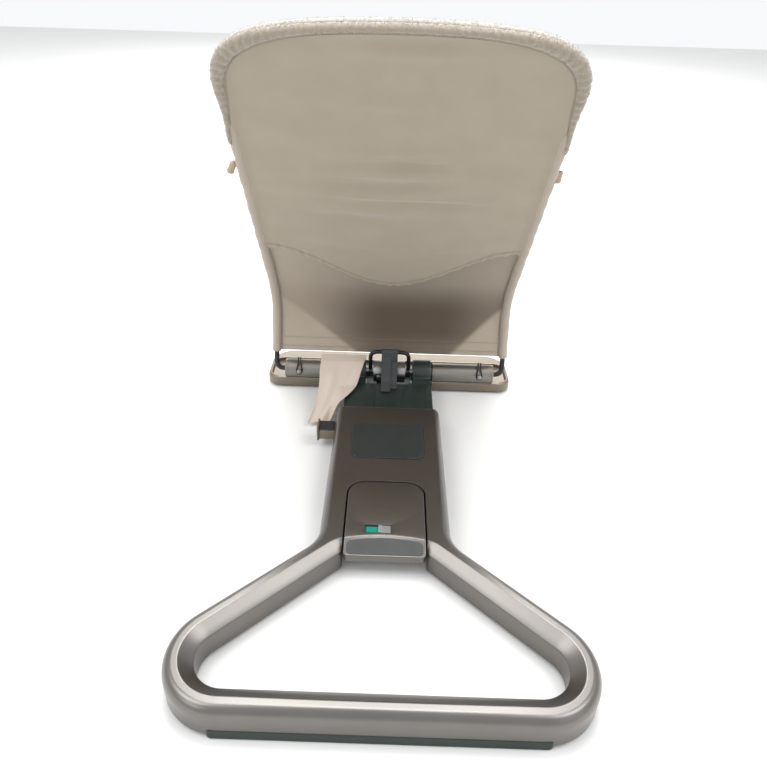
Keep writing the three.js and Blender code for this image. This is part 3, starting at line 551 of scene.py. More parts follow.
# beside the pedal the crease turns on a smaller radius until it runs along the arm
TURN_R = (SIDE_Y - arm_y(CORNER_R - BAR + SLOPE_W, GAP_X)) / (TAN * (SIN - SIDE_SIN) - SIDE_COS + COS)
TURN_X = GAP_X + TURN_R * (SIN - SIDE_SIN)


def break_y(x):
    """Where the crease is at x."""
    x = abs(x)
    if x <= GAP_X:
        return BREAK_Y + BREAK_R - math.sqrt(BREAK_R ** 2 - x ** 2)
    lean = SIDE_SIN + (min(x, TURN_X) - GAP_X) / TURN_R
    return SIDE_Y + TURN_R * (SIDE_COS - math.sqrt(1 - lean ** 2))


def mirrored(right):
    """A half outline on +X followed by its mirror image."""
    right = np.asarray(right)
    return np.concatenate([right, right[::-1] * (-1, 1)])


def cover_outline(inset):
    """The plan outline of spine and loop, moved inwards."""
    r, side, fillet = CORNER_R - inset, SPINE_HALF - inset, FILLET + inset
    y = arm_y(r, side) - fillet * math.tan(math.radians((90 - ARM) / 2))
    nose = arc(side - SPINE_R + inset, SPINE_FRONT + SPINE_R, SPINE_R - inset, -90, 0, 8)
    half = np.concatenate([nose, arc(side + fillet, y, fillet, 180, 90 + ARM, 14),
                           arc(CX, CY, r, ARM - 90, 90, 34)])
    return mirrored(half)


def even_line(points, n):
    """n points evenly spaced along a polyline."""
    points = np.asarray(points, float)
    run = np.concatenate([[0], np.cumsum(np.linalg.norm(np.diff(points, axis=0), axis=1))])
    want = np.linspace(0, run[-1], n)
    return np.stack([np.interp(want, run, points[:, k]) for k in range(points.shape[1])], 1)


def opening_half(at_top):
    """The loop opening's edge on +X from the pedal's well to the middle of the rear bar."""
    r = CORNER_R - BAR + (SLOPE_W if at_top else 0)
    meet = np.array([TURN_X, break_y(TURN_X)])
    if at_top:
        x = np.linspace(GAP_X + GAP_LIP, meet[0], 40)
        corner = np.stack([x, [break_y(v) for v in x]], 1)
    else:
        meet = meet + SLOPE_W * np.array([-SIN, COS])
        cy = arm_y(r, GAP_X + GAP_R) - GAP_R / COS
        corner = np.concatenate([arc(GAP_X + GAP_R, cy, GAP_R, 180, 90 + ARM, 16), [meet]])
    touch = np.array([CX + r * SIN, CY - r * COS])
    return np.concatenate([even_line(corner, 18), np.linspace(meet, touch, 6)[1:],
                           arc(CX, CY, r, ARM - 90, 90, 34)[1:]])


FOOT_EDGE, HEAD_EDGE = opening_half(False), opening_half(True)


def opening_ring(out):
    return mirrored(FOOT_EDGE + (HEAD_EDGE - FOOT_EDGE) * out / SLOPE_W)


# outset and height of each line round the opening, from the floor up over the slope to the flat
OPENING_PROFILE = [(0, BOTTOM), (0, 31.0), (0.15, 31.7), (0.9, 32.6), (7.5, 37.0), (14.1, 41.4),
                   (14.7, 41.8), (15.4, TOP), (16.2, TOP)]


def well_outline(grow):
    """The pedal well's side and front, from +X rear round the front to -X rear."""
    r = 26.0 + grow
    x, front = GAP_X + grow, GAP_FRONT - grow
    side = np.array([(x, y) for y in np.linspace(140, front + r, 7)])
    return mirrored(np.concatenate([side, arc(x - r, front + r, r, 0, -90, 14)]))


def well_columns(rows):
    """Each row of the well's lip: its grow and drop, run along the slope's side and round the well."""
    rings = []
    for share, drop in rows:
        slope = []
        for out, z in OPENING_PROFILE[1:]:
            f = out / SLOPE_W
            start = FOOT_EDGE[0] + (HEAD_EDGE[0] - FOOT_EDGE[0]) * f
            slope.append((GAP_X + GAP_LIP * f * share, start[1], z - drop * min(1.0, f)))
        flat = raised(well_outline(GAP_LIP * SLOPE_PROUD * share), TOP - drop)
        left = [(-x, y, z) for x, y, z in slope]
        rings.append(slope + flat + left[::-1])
    deep = [(x, y, BOTTOM + 19 * min(1.0, max(0.0, (136 - y) / 16))) for x, y, z in rings[-1]]
    return rings + [deep]


SLOPE_PROUD = OPENING_PROFILE[-1][0] / SLOPE_W


def top_cover():
    """The one-piece shell: outer rounding, opening, pedal well, tile recess and button hole."""
    sides = [(0.6, BOTTOM), (0, BOTTOM + 0.6)]
    for a in np.linspace(0, math.pi / 2, 9):
        sides.append((ROUND_W * (1 - math.cos(a)), TOP - ROUND_H + ROUND_H * math.sin(a)))
    outer = [raised(cover_outline(inset), z) for inset, z in sides + [(FLAT_IN, TOP)]]
    hole = [raised(opening_ring(out), z) for out, z in OPENING_PROFILE]
    well = well_columns([(1, 0), (0.6, 0), (0.18, 0.3), (0, 1.0)])
    tile = [raised(badge_outline(0.5), TOP), raised(badge_outline(0.5), TOP - 1.4)]
    gap = np.concatenate([opening_ring(OPENING_PROFILE[-1][0]),
                          well_outline(GAP_LIP * SLOPE_PROUD)[::-1]])
    roof = flat_between(cover_outline(FLAT_IN), [gap, badge_outline(0.5)], TOP)
    obj = merge_parts("top_cover_shell", [
        loft(outer), loft(hole, False), loft(well, False), loft(tile, True, False, True), roof])
    modify(obj, "SOLIDIFY", thickness=WALL * MM, offset=-1, use_even_offset=True)
    bake(obj)
    cut(obj, "button_cutter", [[(x, -122.4, 15.6), (x, -95.6, 15.6), (x, -95.6, 34.4), (x, -122.4, 34.4)]
                               for x in (60, 95)])
    settle(obj, "base", SATIN, ["top_cover"], 30)


def badge_outline(grow):
    return round_rect(-54.5, 54.5, -104, -19, 8, 15, grow)


def badge_tile():
    obj = merge_parts("badge_tile_plain", [rounded_slab(badge_outline, 41.0, 43.3, 1.0)])
    settle(obj, "base", SLATE, ["badge_tile"])


def grip_strip():
    strip = rounded_slab(lambda grow: round_rect(-170, 170, 346, 375, 6, 6, grow), 0.0, 13.0, 1.6, 1.2)
    obj = merge_parts("rear_strip_rubber", [strip])
    settle(obj, "base", STRIP_RUBBER, ["rear_grip_strip"])


def front_foot():
    """The wide foot: a raised rim round a floor, with a stout rounded ridge along its front."""
    def outline(inset):
        half = 220 - inset
        return mirrored(np.concatenate([
            arc(half - 42 + inset, -375 + 42, 42 - inset, -90, 0, 14),
            arc(half - 24 + inset, -271 - 24, 24 - inset, 0, 90, 12)]))

    def pocket(grow):
        return round_rect(-214, 214, -343, -277, 18, 18, grow, 12)

    sides = [(0.8, 4.3), (0, 5.1)]
    sides += [(4.6 * (1 - math.cos(a)), 14 + 7 * math.sin(a)) for a in np.linspace(0, math.pi / 2, 7)]
    outer = [raised(outline(inset), z) for inset, z in sides]
    well = [(0.6, 21.0), (0.2, 20.8), (0, 20.0), (-0.6, 14.6), (-1.6, 13.3), (-3.4, 13.0)]
    inner = [raised(pocket(grow), z) for grow, z in well]
    roof = flat_between(outline(4.6), [pocket(0.6)], 21.0)
    obj = merge_parts("front_foot_shell", [loft(outer, True, True), loft(inner, True, False, True), roof])
    cut(obj, "hub_cutter", [[(-77.5, y, -10), (77.5, y, -10), (77.5, y, 60), (-77.5, y, 60)]
                            for y in (-312, -261)])
    cut(obj, "barrel_cutter", lathe([(-200, 17.8), (200, 17.8)], *AXIS))
    settle(obj, "base", TAUPE, ["front_foot"], 30)


def foot_pads():
    """Rubber pads with shallow tread bars."""
    for word, side in (("left", 1), ("right", -1)):
        x = sorted((side * 110, side * 205))
        parts = [rounded_slab(lambda g: round_rect(x[0], x[1], -362, -296, 14, 14, g), 0.6, 4.0, 0.5)]
        for y in np.arange(-352, -303, 7.0):
            parts.append(rounded_slab(
                lambda g: round_rect(x[0] + 8, x[1] - 8, y, y + 3.4, 1.6, 1.6, g), 0.0, 1.2, 0.2, 0.3))
        obj = merge_parts(f"foot_pad_rubber_{word}", parts)
        settle(obj, "base", STRIP_RUBBER, [f"front_foot_pad_{word}"])


top_cover()
badge_tile()
grip_strip()
front_foot()
foot_pads()
softened("chassis", 1.0, CHASSIS_PLASTIC)
for word in ("left", "right"):
    softened(f"bearing_bracket_{word}", 1.2, CHASSIS_PLASTIC, 3)
softened("underside_tray", 0.4, BLACK)
softened("index_sector", 0.3, STEEL)
rails = [tube([(x, -238, 33.1), (x, -130, 33.1)], 0.7, 8) for x in (-64, -24, 24)]
settle(merge_parts("chassis_rails", rails), "base", CHASSIS_PLASTIC)


# ---------------------------------------------------------------- pedal, slider, button
def skirt(loop, steps):
    """Rings that run outwards and down from an edge loop of points (x, y, z)."""
    loop = np.asarray(loop, float)
    run = np.roll(loop, -1, 0)[:, :2] - np.roll(loop, 1, 0)[:, :2]
    run /= np.maximum(np.linalg.norm(run, axis=1), 1e-9)[:, None]
    out = np.stack([run[:, 1], -run[:, 0], np.zeros(len(loop))], 1)
    return [loop + out * step - np.array([0, 0, drop]) for step, drop in steps]


def slope_z(x, y):
    """The height of the slope that falls from the crease to the pedal's rear edge."""
    fall = break_y(x)
    return TOP - SLOPE_D * max(0.0, (y - fall) / (PEDAL_REAR - fall))


def window_outline(grow):
    return round_rect(-7.5, 25.5, 117, 131, 0.6, 0.6, grow, 4)


def pedal_plate():
    """The pedal: a flat front, a slope behind the crease, eased edges and the slider's pit."""
    half, corner = PEDAL_HALF, PEDAL_R
    xs = half * np.sin(np.linspace(-math.pi / 2, math.pi / 2, 49))

    def front_y(x):
        return PEDAL_FRONT + corner - math.sqrt(
            max(0.0, corner ** 2 - max(0.0, abs(x) - half + corner) ** 2))

    def rear_y(x):
        return PEDAL_REAR - 5 + math.sqrt(max(0.0, 16 - max(0.0, abs(x) - half + 4) ** 2))

    crease = [(x, break_y(x) - 1.0) for x in xs]
    side = [(half, y) for y in np.linspace(58, crease[-1][1], 6)]
    side = side[1:-1]
    flat = [(x, front_y(x)) for x in xs] + side + crease[::-1] + [(-x, y) for x, y in side][::-1]
    roof = flat_between(flat, [window_outline(0.6)], TOP)
    rows = [[(x, y, TOP) for x, y in crease]]
    for share in (0.0, 0.05, 0.3, 0.6, 0.9, 1.0):
        row = []
        for x in xs:
            y = break_y(x) + 0.9 + (rear_y(x) - break_y(x) - 0.9) * share
            row.append((x, y, slope_z(x, y)))
        rows.append(row)
    ramp = loft(rows, False)
    loop = [(x, front_y(x), TOP) for x in xs] + raised(side, TOP)
    loop += [row[-1] for row in rows[:-1]] + rows[-1][::-1] + [row[0] for row in rows[-2::-1]]
    loop += [(-x, y, TOP) for x, y in side][::-1]
    edge = skirt(loop, [(0, 0), (0.4, 0.08), (0.72, 0.3), (0.93, 0.62), (1.0, 1.0), (1.0, 9.6), (0.6, 10)])
    n = len(loop)
    base = (list(edge[-1]) + [np.mean(edge[-1], axis=0)], [(i, n, (i + 1) % n) for i in range(n)])
    pit = loft([raised(window_outline(g), z) for g, z in
                ((0.6, TOP), (0.2, TOP - 0.12), (0, TOP - 0.5), (0, 38.1))], True, False, True)
    obj = merge_parts("pedal_plate", [roof, ramp, loft(edge), base, pit])
    settle(obj, "pedal", SATIN, ["pedal"], 28)
    knuckles = []
    for side_x in (-45, 45):
        knuckles.append(loft([[(side_x + dx, 50 + 6 * math.cos(a), 25 + 7 * math.sin(a))
                               for a in np.linspace(0, TAU, 24, endpoint=False)] for dx in (-4, 4)],
                             True, True, True))
    settle(merge_parts("pedal_knuckles", knuckles), "pedal", BLACK)


def grip_pad():
    """The ribbed rubber on the pedal's slope; its ribs run fore and aft every 1.6 mm."""
    half, corner, lift, pitch = 47.0, 5.0, 0.9, 1.6
    xs = np.linspace(-half, half, 233)
    rows = []
    for share in (0, 0.12, 0.35, 0.65, 0.88, 1):
        row = []
        for x in xs:
            cut = corner - math.sqrt(max(0.0, corner ** 2 - max(0.0, abs(x) - half + corner) ** 2))
            y0, y1 = break_y(x) + 5.4 + cut * 0.8, 159.8 - cut
            y = y0 + (y1 - y0) * share
            rib = 0.35 * max(0.0, math.cos(TAU * x / pitch)) if 0 < share < 1 else 0
            row.append((x, y, slope_z(x, y) + lift + rib))
        rows.append(row)
    loop = rows[0] + [r[-1] for r in rows[1:-1]] + rows[-1][::-1] + [r[0] for r in rows[-2:0:-1]]
    edge = skirt(loop, [(0, 0), (0.4, 0.3), (0.5, 0.9), (0.5, 2.0)])
    obj = merge_parts("pedal_pad_ribbed", [loft(rows, False), loft(edge, True, False, True)])
    settle(obj, "pedal", PAD_RUBBER, ["pedal_grip_pad"], 50)


def block(x0, x1, y0, y1, z0, z1, r=0.6, edge=0.5):
    """A small moulded block with eased edges."""
    return rounded_slab(lambda g: round_rect(x0, x1, y0, y1, r, r, g, 4), z0, z1, edge, 0.1, 3)


def slider():
    parts = [block(-7, 9, 117.5, 130.5, 39.9, 40.9),
             block(3.6, 8.8, 117.7, 130.3, 40.7, 42.3, 0.8, 0.6)]
    parts += [block(x, x + 1.5, 118.2, 129.8, 40.7, 41.9, 0.5, 0.4) for x in (-5.6, -2.8, 0.0)]
    settle(merge_parts("lock_slider_thumb", parts), "slider", SILVER, ["lock_slider"])
    window = block(-5, 24.6, 118, 130, 38.2, 39.2)
    settle(merge_parts("lock_window_plate", [window]), "pedal", TEAL, ["lock_window"])


def side_button():
    body = [block(58, 108.2, -122, -96, 16, 31.4, 1.5, 1.2),
            block(107.6, 111, -124, -94, 14, 36, 1.5, 1.0)]
    settle(merge_parts("side_button_body", body), "button", TAUPE, ["side_button"])
    grip = [block(84.5, 107.4, -121.4, -97.4, 31, 33.4, 1.2, 0.7)]
    grip += [block(86 + i * 3.0, 87.4 + i * 3.0, -120, -99, 33.1, 34.0, 0.5, 0.3) for i in range(7)]
    settle(merge_parts("side_button_grip", grip), "button", BUTTON_DARK)


pedal_plate()
grip_pad()
slider()
side_button()
for node, ease in (("link_rod", 0.5), ("lock_plunger", 0.4), ("index_drum", 0.5), ("spring_drum", 0.5)):
    softened(node, ease, STEEL)
for name, turns, radius, start, length, wire, place, body in (
        ("pedal_return_spring", 4, 5.2, 16, 14.4, 1.0, (50, 22), "base"),
        ("button_spring", 3, 5.0, 45, 8.4, 0.9, (-109, 25), "button"),
        ("bounce_spring_left", 6, 10.0, 84, 63, 1.5, (-284, 33), "seat"),
        ("bounce_spring_right", 6, 10.0, -147, 63, 1.5, (-284, 33), "seat")):
    grown(name + "_coil", SPRING, None,
          {"Turns": float(turns), "Coil Radius": radius * MM, "Length": length * MM,
           "Wire Radius": wire * MM, "Place": (start * MM, place[0] * MM, place[1] * MM),
           "Material": STEEL}, body, [name])


# ---------------------------------------------------------------- hub: bail and strap
def bezier(a, b, c, n=10):
    t = np.linspace(0, 1, n)[:, None]
    return (1 - t) ** 2 * np.array(a) + 2 * t * (1 - t) * np.array(b) + t ** 2 * np.array(c)


def bail():
    foot, head = np.array([-272.0, 40.0]), np.array([-262.0, 84.0])
    half, bend = 33.5, 14.0
    rise = 1 - bend / np.linalg.norm(head - foot)
    at = lambda x, f: (x, *(foot + (head - foot) * f))
    line = np.concatenate([
        [at(half, 0.11), at(half, 0.4)], bezier(at(half, rise), at(half, 1), at(half - bend, 1)),
        bezier(at(bend - half, 1), at(-half, 1), at(-half, rise)), [at(-half, 0.4), at(-half, 0.11)]])
    parts = [tube(line, 3.5, 16)]
    for side in (-1, 1):
        x = side * half
        ring = [(x - 3, 3.3), (x - 3, 6.2), (x - 2.6, 6.5), (x + 2.6, 6.5), (x + 3, 6.2), (x + 3, 3.3),
                (x - 3, 3.3)]
        parts.append(loft(lathe(ring, -272, 40, 28)))
    settle(merge_parts("release_bail_loop", parts), "bail", WIRE_BLACK, ["release_bail"])


def band(name, centre, across, half, thick):
    """A flat strap: centre points (mm), the unit across its width at each, and its half widths."""
    centre, across = np.asarray(centre, float), np.asarray(across, float)
    half = np.broadcast_to(np.asarray(half, float), (len(centre),))
    columns = np.array([-1, -0.93, -0.6, -0.2, 0.2, 0.6, 0.93, 1.0])
    rows = [[p + a * h * c for c in columns] for p, a, h in zip(centre, across, half)]
    points, faces = loft(rows, False)
    run = np.concatenate([[0], np.cumsum(np.linalg.norm(np.diff(centre, axis=0), axis=1))])
    uvs = [(c * h * MM, s * MM) for s, h in zip(run, half) for c in columns]
    obj = piece(name, points, faces, uvs)
    modify(obj, "SOLIDIFY", thickness=thick * MM, offset=0)
    modify(obj, "BEVEL", width=thick * 0.35 * MM, segments=2)
    return bake(obj)


def pull_strap():
    """Webbing folded over the bail's bar; its sewn tails hang to the slab behind it."""
    bar = np.array([-262.0, 84.0])
    wrap = arc(*bar, 5.2, 190, 12, 14)
    loop = [(-266.4, 70), (-267.6, 76), *wrap, (-256.0, 77), (-254.0, 70)]
    line = [(0.0, y, z) for y, z in loop]
    top = band("pull_strap_wrap", line, [(1, 0, 0)] * len(line), 14.0, 1.5)
    settle(top, "bail", WEBBING, ["pull_strap"])
    for name, x0, half, line in (
            ("pull_strap_tail_near", 5.6, 8.2, [
                (-255.6, 76), (-252.6, 68), (-248.8, 59), (-245.2, 51), (-241.6, 43.5), (-237.4, 38.6),
                (-231, 36.6), (-221, 35.8), (-210, 35.4)]),
            ("pull_strap_tail_far", -6.2, 7.6, [
                (-257.4, 75), (-255.2, 68), (-252.0, 60), (-248.4, 52), (-244.8, 44.5), (-240.2, 38.2),
                (-234, 35.2), (-222, 34.2)])):
        line = even_line([(x0, y, z) for y, z in line], 26)
        tail = band(name, line, [(1, 0, 0)] * len(line), half, 1.5)
        settle(tail, None, WEBBING)
        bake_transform(tail)


bail()
pull_strap()


# ---------------------------------------------------------------- seat: wire frame and barrel
KNEE, HEAD = np.array([-330.0, 153.0]), np.array([-26.0, 592.0])
UPWARD = (HEAD - KNEE) / np.linalg.norm(HEAD - KNEE)
KNEE_IN, KNEE_OUT = KNEE + (AXIS - KNEE) * 50 / 128, KNEE + UPWARD * 50
SIDE = np.concatenate([[AXIS], bezier(KNEE_IN, KNEE, KNEE_OUT, 60), [HEAD], [HEAD + UPWARD * 60]])
SIDE = even_line(SIDE, 1400)
RUN = np.concatenate([[0], np.cumsum(np.linalg.norm(np.diff(SIDE, axis=0), axis=1))])
LEAN = np.gradient(SIDE, RUN, axis=0)
LENGTH = float(RUN[-1] - 60)
WIRE_HALF, WIRE_R, CASING_R, HEM = 203.0, 4.5, 7.7, 33.0


def seat_spots(x, t, off):
    """Points x across, t up the seat's side view, off behind the frame's surface (minus is in front)."""
    x, t, off = np.broadcast_arrays(np.asarray(x, float), np.asarray(t, float), np.asarray(off, float))
    y, z = np.interp(t, RUN, SIDE[:, 0]), np.interp(t, RUN, SIDE[:, 1])
    ly, lz = np.interp(t, RUN, LEAN[:, 0]), np.interp(t, RUN, LEAN[:, 1])
    return np.stack([x, y + off * lz, z - off * ly], -1)


def hoop_line(grow, start, n=500):
    """The frame's outline in (x, t), grown outwards, from +X over the top to -X, evenly spaced."""
    half, top = WIRE_HALF + grow, LENGTH + grow
    drop, shoulder = top - 85, top - 85 * 0.26
    t = np.linspace(0, 1, 160)[:, None]
    p = [np.array(v) for v in ((half, drop), (half, shoulder), (half * 0.8, top), (0.0, top))]
    curve = (1 - t) ** 3 * p[0] + 3 * t * (1 - t) ** 2 * p[1] + 3 * t * t * (1 - t) * p[2] + t ** 3 * p[3]
    right = np.concatenate([[(half, start)], curve])
    return even_line(np.concatenate([right, right[-2::-1] * (-1, 1)]), n)


def half_at(t, inset):
    line = hoop_line(-inset, 0, 1600)
    right = line[:800]
    return np.interp(t, right[:, 1], right[:, 0])


def smooth(low, high, value):
    share = np.clip((np.asarray(value, float) - low) / (high - low), 0, 1)
    return share * share * (3 - 2 * share)


def wires():
    line = hoop_line(0, 330, 260)
    settle(merge_parts("seat_hoop_wire", [tube(seat_spots(line[:, 0], line[:, 1], 0), WIRE_R, 14)]),
           "seat", WIRE_BLACK, ["seat_hoop"])
    for word, side in (("left", 1), ("right", -1)):
        ends = [(side * x, *AXIS) for x in (160, 175, 186)]
        turn = bezier((side * 189, *AXIS), (side * 203, *AXIS), seat_spots(side * 203, 14, 0), 14)
        rise = seat_spots(side * 203, np.linspace(18, 329.6, 70), 0)
        leg = np.concatenate([ends, turn, rise])
        settle(merge_parts(f"seat_leg_wire_{word}", [tube(leg, WIRE_R, 14)]),
               "seat", WIRE_BLACK, [f"seat_leg_{word}"])


def barrels():
    for word, side in (("left", 1), ("right", -1)):
        shape = [(76.5, 13.2), (76.5, 16.2), (77.3, 17.0), (80.0, 17.0), (80.4, 16.7), (80.8, 17.0),
                 (181.6, 17.0), (182.0, 16.7), (182.4, 17.0), (185.0, 17.0), (186.0, 16.0), (186.0, 13.2),
                 (76.5, 13.2)]
        obj = merge_parts(f"barrel_tube_{word}", [loft(lathe([(side * x, r) for x, r in shape], *AXIS))])
        settle(obj, "seat", BARREL_SATIN, [f"barrel_{word}"])
        bush = [(172, 5.2), (172, 12.4), (185.4, 12.9), (186.2, 12.2), (186.8, 7.4), (186.4, 5.2),
                (172, 5.2)]
        obj = merge_parts(f"barrel_bush_{word}", [loft(lathe([(side * x, r) for x, r in bush], *AXIS))])
        settle(obj, "seat", BLACK, [f"end_bush_{word}"])


def hooks():
    tilt = math.radians(15)
    out = np.array([math.cos(tilt), math.sin(tilt)])
    for word, side in (("left", 1), ("right", -1)):
        rings = []
        for r, h in ((0.01, 0), (3.4, 0), (2.5, 1.6), (2.3, 4.6), (3.6, 5.6), (4.1, 6.4),
                     (3.6, 7.5), (2.2, 8.0), (0.01, 8.1)):
            a = np.linspace(0, TAU, 24, endpoint=False)
            y, z = AXIS + out * (17.3 + h)
            rings.append([(side * 160 + r * math.cos(v), y - r * math.sin(v) * out[1],
                           z + r * math.sin(v) * out[0]) for v in a])
        settle(merge_parts(f"hook_peg_turned_{word}", [loft(rings)]), "seat", STEEL,
               [f"hook_peg_{word}"])
        peg = np.array([side * 160, *(AXIS + out * 20.6)])
        up = np.array([0, *(AXIS + (7, 25))]) - np.array([0, *peg[1:]])
        up /= np.linalg.norm(up)
        spots = [(-2, 25), (-2, 19), (-2.2, 13), (-3.4, 8), (-4.9, 3), (-4.6, -1.5), (-2.8, -4.4),
                 (0, -5.4), (2.8, -4.4), (4.6, -1.5), (4.9, 3), (3.4, 8), (2.2, 13), (2, 19), (2, 25)]
        line = even_line([peg + np.array([x, 0, 0]) + up * r for x, r in spots], 60)
        for _ in range(3):
            line[1:-1] = (line[:-2] + 2 * line[1:-1] + line[2:]) / 4
        points, faces = tube(line, 1.25, 10)
        obj = tidy(piece(f"elastic_loop_cord_{word}", points, faces, along_uv(points, 10, 1.3)))
        settle(obj, "seat", ELASTIC, [f"elastic_loop_{word}"])


wires()
barrels()
hooks()
softened("frame_sleeve_left", 0.5, BLACK)
softened("frame_sleeve_right", 0.5, BLACK)


# ---------------------------------------------------------------- seat: cloth panels
def cloth(name, place, across, along, thick, painted_shade_of=None):
    """A sheet over a grid of u and v from 0 to 1; place gives (x, t, off) and the UV is true size."""
    u, v = np.meshgrid(np.linspace(0, 1, across), np.linspace(0, 1, along))
    x, t, off = place(u, v)
    points = seat_spots(x, t, off).reshape(-1, 3)
    faces = loft([[0] * across] * along, False)[1]
    uvs = np.stack([np.ravel(x), np.ravel(t)], 1) * MM
    obj = piece(name, points, faces, uvs)
    if painted_shade_of is not None:
        # painted shade, kept in a vertex attribute for the cloth's material to darken by
        shade = obj.data.attributes.new("painted_shade", "FLOAT", "POINT")
        shade.data.foreach_set("value", np.ravel(painted_shade_of(u, v, x, t)).astype(np.float32))
    modify(obj, "SOLIDIFY", thickness=thick * MM, offset=0)
    modify(obj, "BEVEL", width=thick * 0.4 * MM, segments=2, limit_method="ANGLE",
           angle_limit=math.radians(60))
    return bake(obj)


# soft creases: place across (-1 to 1), place up (mm), half length, half width, height and slant (mm)
CREASES = [(-0.05, 628, 0.35, 9, 1.3, 0), (0.1, 560, 0.3, 10, 0.9, 4), (0.0, 486, 0.3, 7, 1.1, -3),
           (-0.1, 462, 0.34, 7, -1.2, 5), (0.05, 446, 0.42, 8, 1.6, 2), (-0.05, 424, 0.38, 8, -1.3, -6),
           (0.1, 404, 0.5, 10, 1.7, 10), (-0.25, 388, 0.35, 9, -1.2, 12), (0.1, 372, 0.4, 10, 1.2, 14),
           (0.3, 350, 0.35, 12, -1.1, 16), (-0.3, 420, 0.3, 14, 1.2, -22), (0.45, 300, 0.3, 14, 1.0, 26),
           (-0.5, 290, 0.3, 14, 1.0, -26), (-0.62, 520, 0.2, 18, 1.0, 18), (0.66, 510, 0.2, 18, 1.0, -18)]


def upper_hem(a):
    """Height of the upper panel's curved hem at a share a of the half width."""
    return 172 + 50 * (1 - np.cos(np.pi * a))


def round_top(start, n):
    """Points along the wire over the top, the outward direction at each and its share from -1 to 1."""
    line = hoop_line(0, start, n)
    run = np.gradient(line, axis=0)
    run /= np.linalg.norm(run, axis=1)[:, None]
    return line, np.stack([run[:, 1], -run[:, 0]], 1), np.linspace(-1, 1, n)


def at_corner(s):
    return float(np.exp(-((abs(s) - 0.61) / 0.2) ** 2))


def rim_inner(s):
    """The plush rim's inner edge measured from the wire; its sides run out to nothing."""
    return -2.5 - 4.2 * at_corner(s) + 5.5 * float(smooth(0.78, 1.0, abs(s)))


def rim_outer(s):
    return 5.2 + 5.2 * at_corner(s) + 2.6 * float(smooth(0.85, 1.0, abs(s)))


def upper_panel():
    inset, top = 2.0, LENGTH - 2.2

    def climb(v):
        return np.where(v < 0.8, v * 0.9 / 0.8, 0.9 + 0.1 * np.sin((v - 0.8) / 0.2 * np.pi / 2))

    def place(u, v):
        a = 2 * u - 1
        low = upper_hem(a)
        t = low + (top - low) * climb(v)
        off = 2.7 + 3.2 * (1 - a ** 2) * np.sin(np.pi * np.clip(v * 1.15, 0, 1)) ** 0.8
        for a0, t0, reach, width, height, slant in CREASES:
            over = ((a - a0) / reach) ** 2 + ((t - t0 - slant * (a - a0)) / width) ** 2
            off += 3.2 * height * np.exp(-over)
        near = np.exp(-((t - low) / 13) ** 2)
        off += near * (0.9 * np.sin(a * 61 + 2 * np.sin(a * 9)) + 0.5 * np.sin(a * 113))
        off += 0.9 * np.exp(-((t - low - 10) / 2.2) ** 2) * -1
        half = half_at(t, inset)
        over = np.minimum((1 - np.abs(a)) * half, top - t)
        return a * half, t, off + 2.8 * np.exp(-(over / 7) ** 2)

    obj = cloth("upper_back_cloth", place, 141, 171, 1.1)
    settle(obj, "seat", CANVAS, ["upper_back_panel"], 60)
    a = np.linspace(-0.985, 0.985, 200)
    t = upper_hem(a) + 10
    stitch_line("upper_hem_stitches",
                seat_spots(a * half_at(t, inset), t, 4.3 + 2.2 * (1 - a ** 2) * 0.35))
    line, out, share = round_top(490, 420)
    seam = line + out * (np.array([rim_inner(s) for s in share]) - 1.2)[:, None]
    stitch_line("rim_seam_stitches", seat_spots(seam[:, 0], seam[:, 1], 6.1), pitch=3.4, half=1.3)


def lower_painted_shade(u, v, x, t):
    """Painted shade, 1 at its darkest: where the seat's padding behind the cloth keeps the light out, 0 in its
    thin corners.
    """
    left = smooth(-5, 9, (159 - x) - (105 - t) * 1.36)
    right = smooth(-5, 9, (x + 182) - (105 - t) * 1.0)
    # painted fall of light: lighter towards +X, a little lighter at -X, towards the top and near the bottom hem
    across = (1 - 0.75 * smooth(10, 175, x)) * (1 - 0.3 * smooth(-90, -190, x))
    return left * right * across * (1 - 0.6 * smooth(105, 185, t)) * (1 - 0.2 * smooth(75, 40, t))


def lower_panel():
    def place(u, v):
        a, t = 2 * u - 1, HEM + 297 * v
        off = -1.6 + 1.4 * (1 - a ** 2) * np.sin(np.pi * v)
        off += 0.8 * np.exp(-((t - 57) / 2.5) ** 2) - 0.6 * np.exp(-((t - 63) / 5) ** 2)
        off += 0.7 * np.exp(-((t - HEM) / 6) ** 2) * np.sin(a * 44)
        off += 0.9 * np.exp(-((a - 0.1) / 0.5) ** 2) * np.sin(t / 8.0) * np.exp(-((t - 95) / 30) ** 2)
        return a * (WIRE_HALF - 5.6), t, off

    obj = cloth("lower_back_cloth", place, 121, 111, 1.1, lower_painted_shade)
    settle(obj, "seat", LINING, ["lower_back_panel"], 60)
    x = np.linspace(-190, 190, 160)
    stitch_line("lower_seam_stitches", seat_spots(x, 57, 0.3), pitch=3.6, half=1.2)
    stitch_line("lower_hem_stitches", seat_spots(x, HEM + 8, -0.3))


def side_casings():
    """The cloth tunnels that the wire runs through, with a row of seam stitches on their inner side."""
    for word, side in (("left", 1), ("right", -1)):
        t = np.linspace(HEM - 2, 562, 220)
        swell = CASING_R + 0.35 * np.sin(t / 4.7) * smooth(60, 300, t) + 0.3 * np.sin(t / 11.0)
        swell = np.where(t < HEM, 7.2, swell) * (1 - 0.38 * smooth(500, 556, t))
        points, faces = tube(seat_spots(side * WIRE_HALF, t, 0), swell, 18)
        obj = piece(f"side_casing_cloth_{word}", points, faces, along_uv(points, 18, 2.3))
        tidy(obj)
        settle(obj, "seat", CASING_CLOTH, [f"side_casing_{word}"], 60)
        t = np.linspace(HEM, 520, 220)
        off = 2.6 - 2.7 * smooth(250, 170, t)
        stitch_line(f"casing_seam_{word}", seat_spots(side * (WIRE_HALF - 9.6), t, off),
                    pitch=3.4, half=1.3)


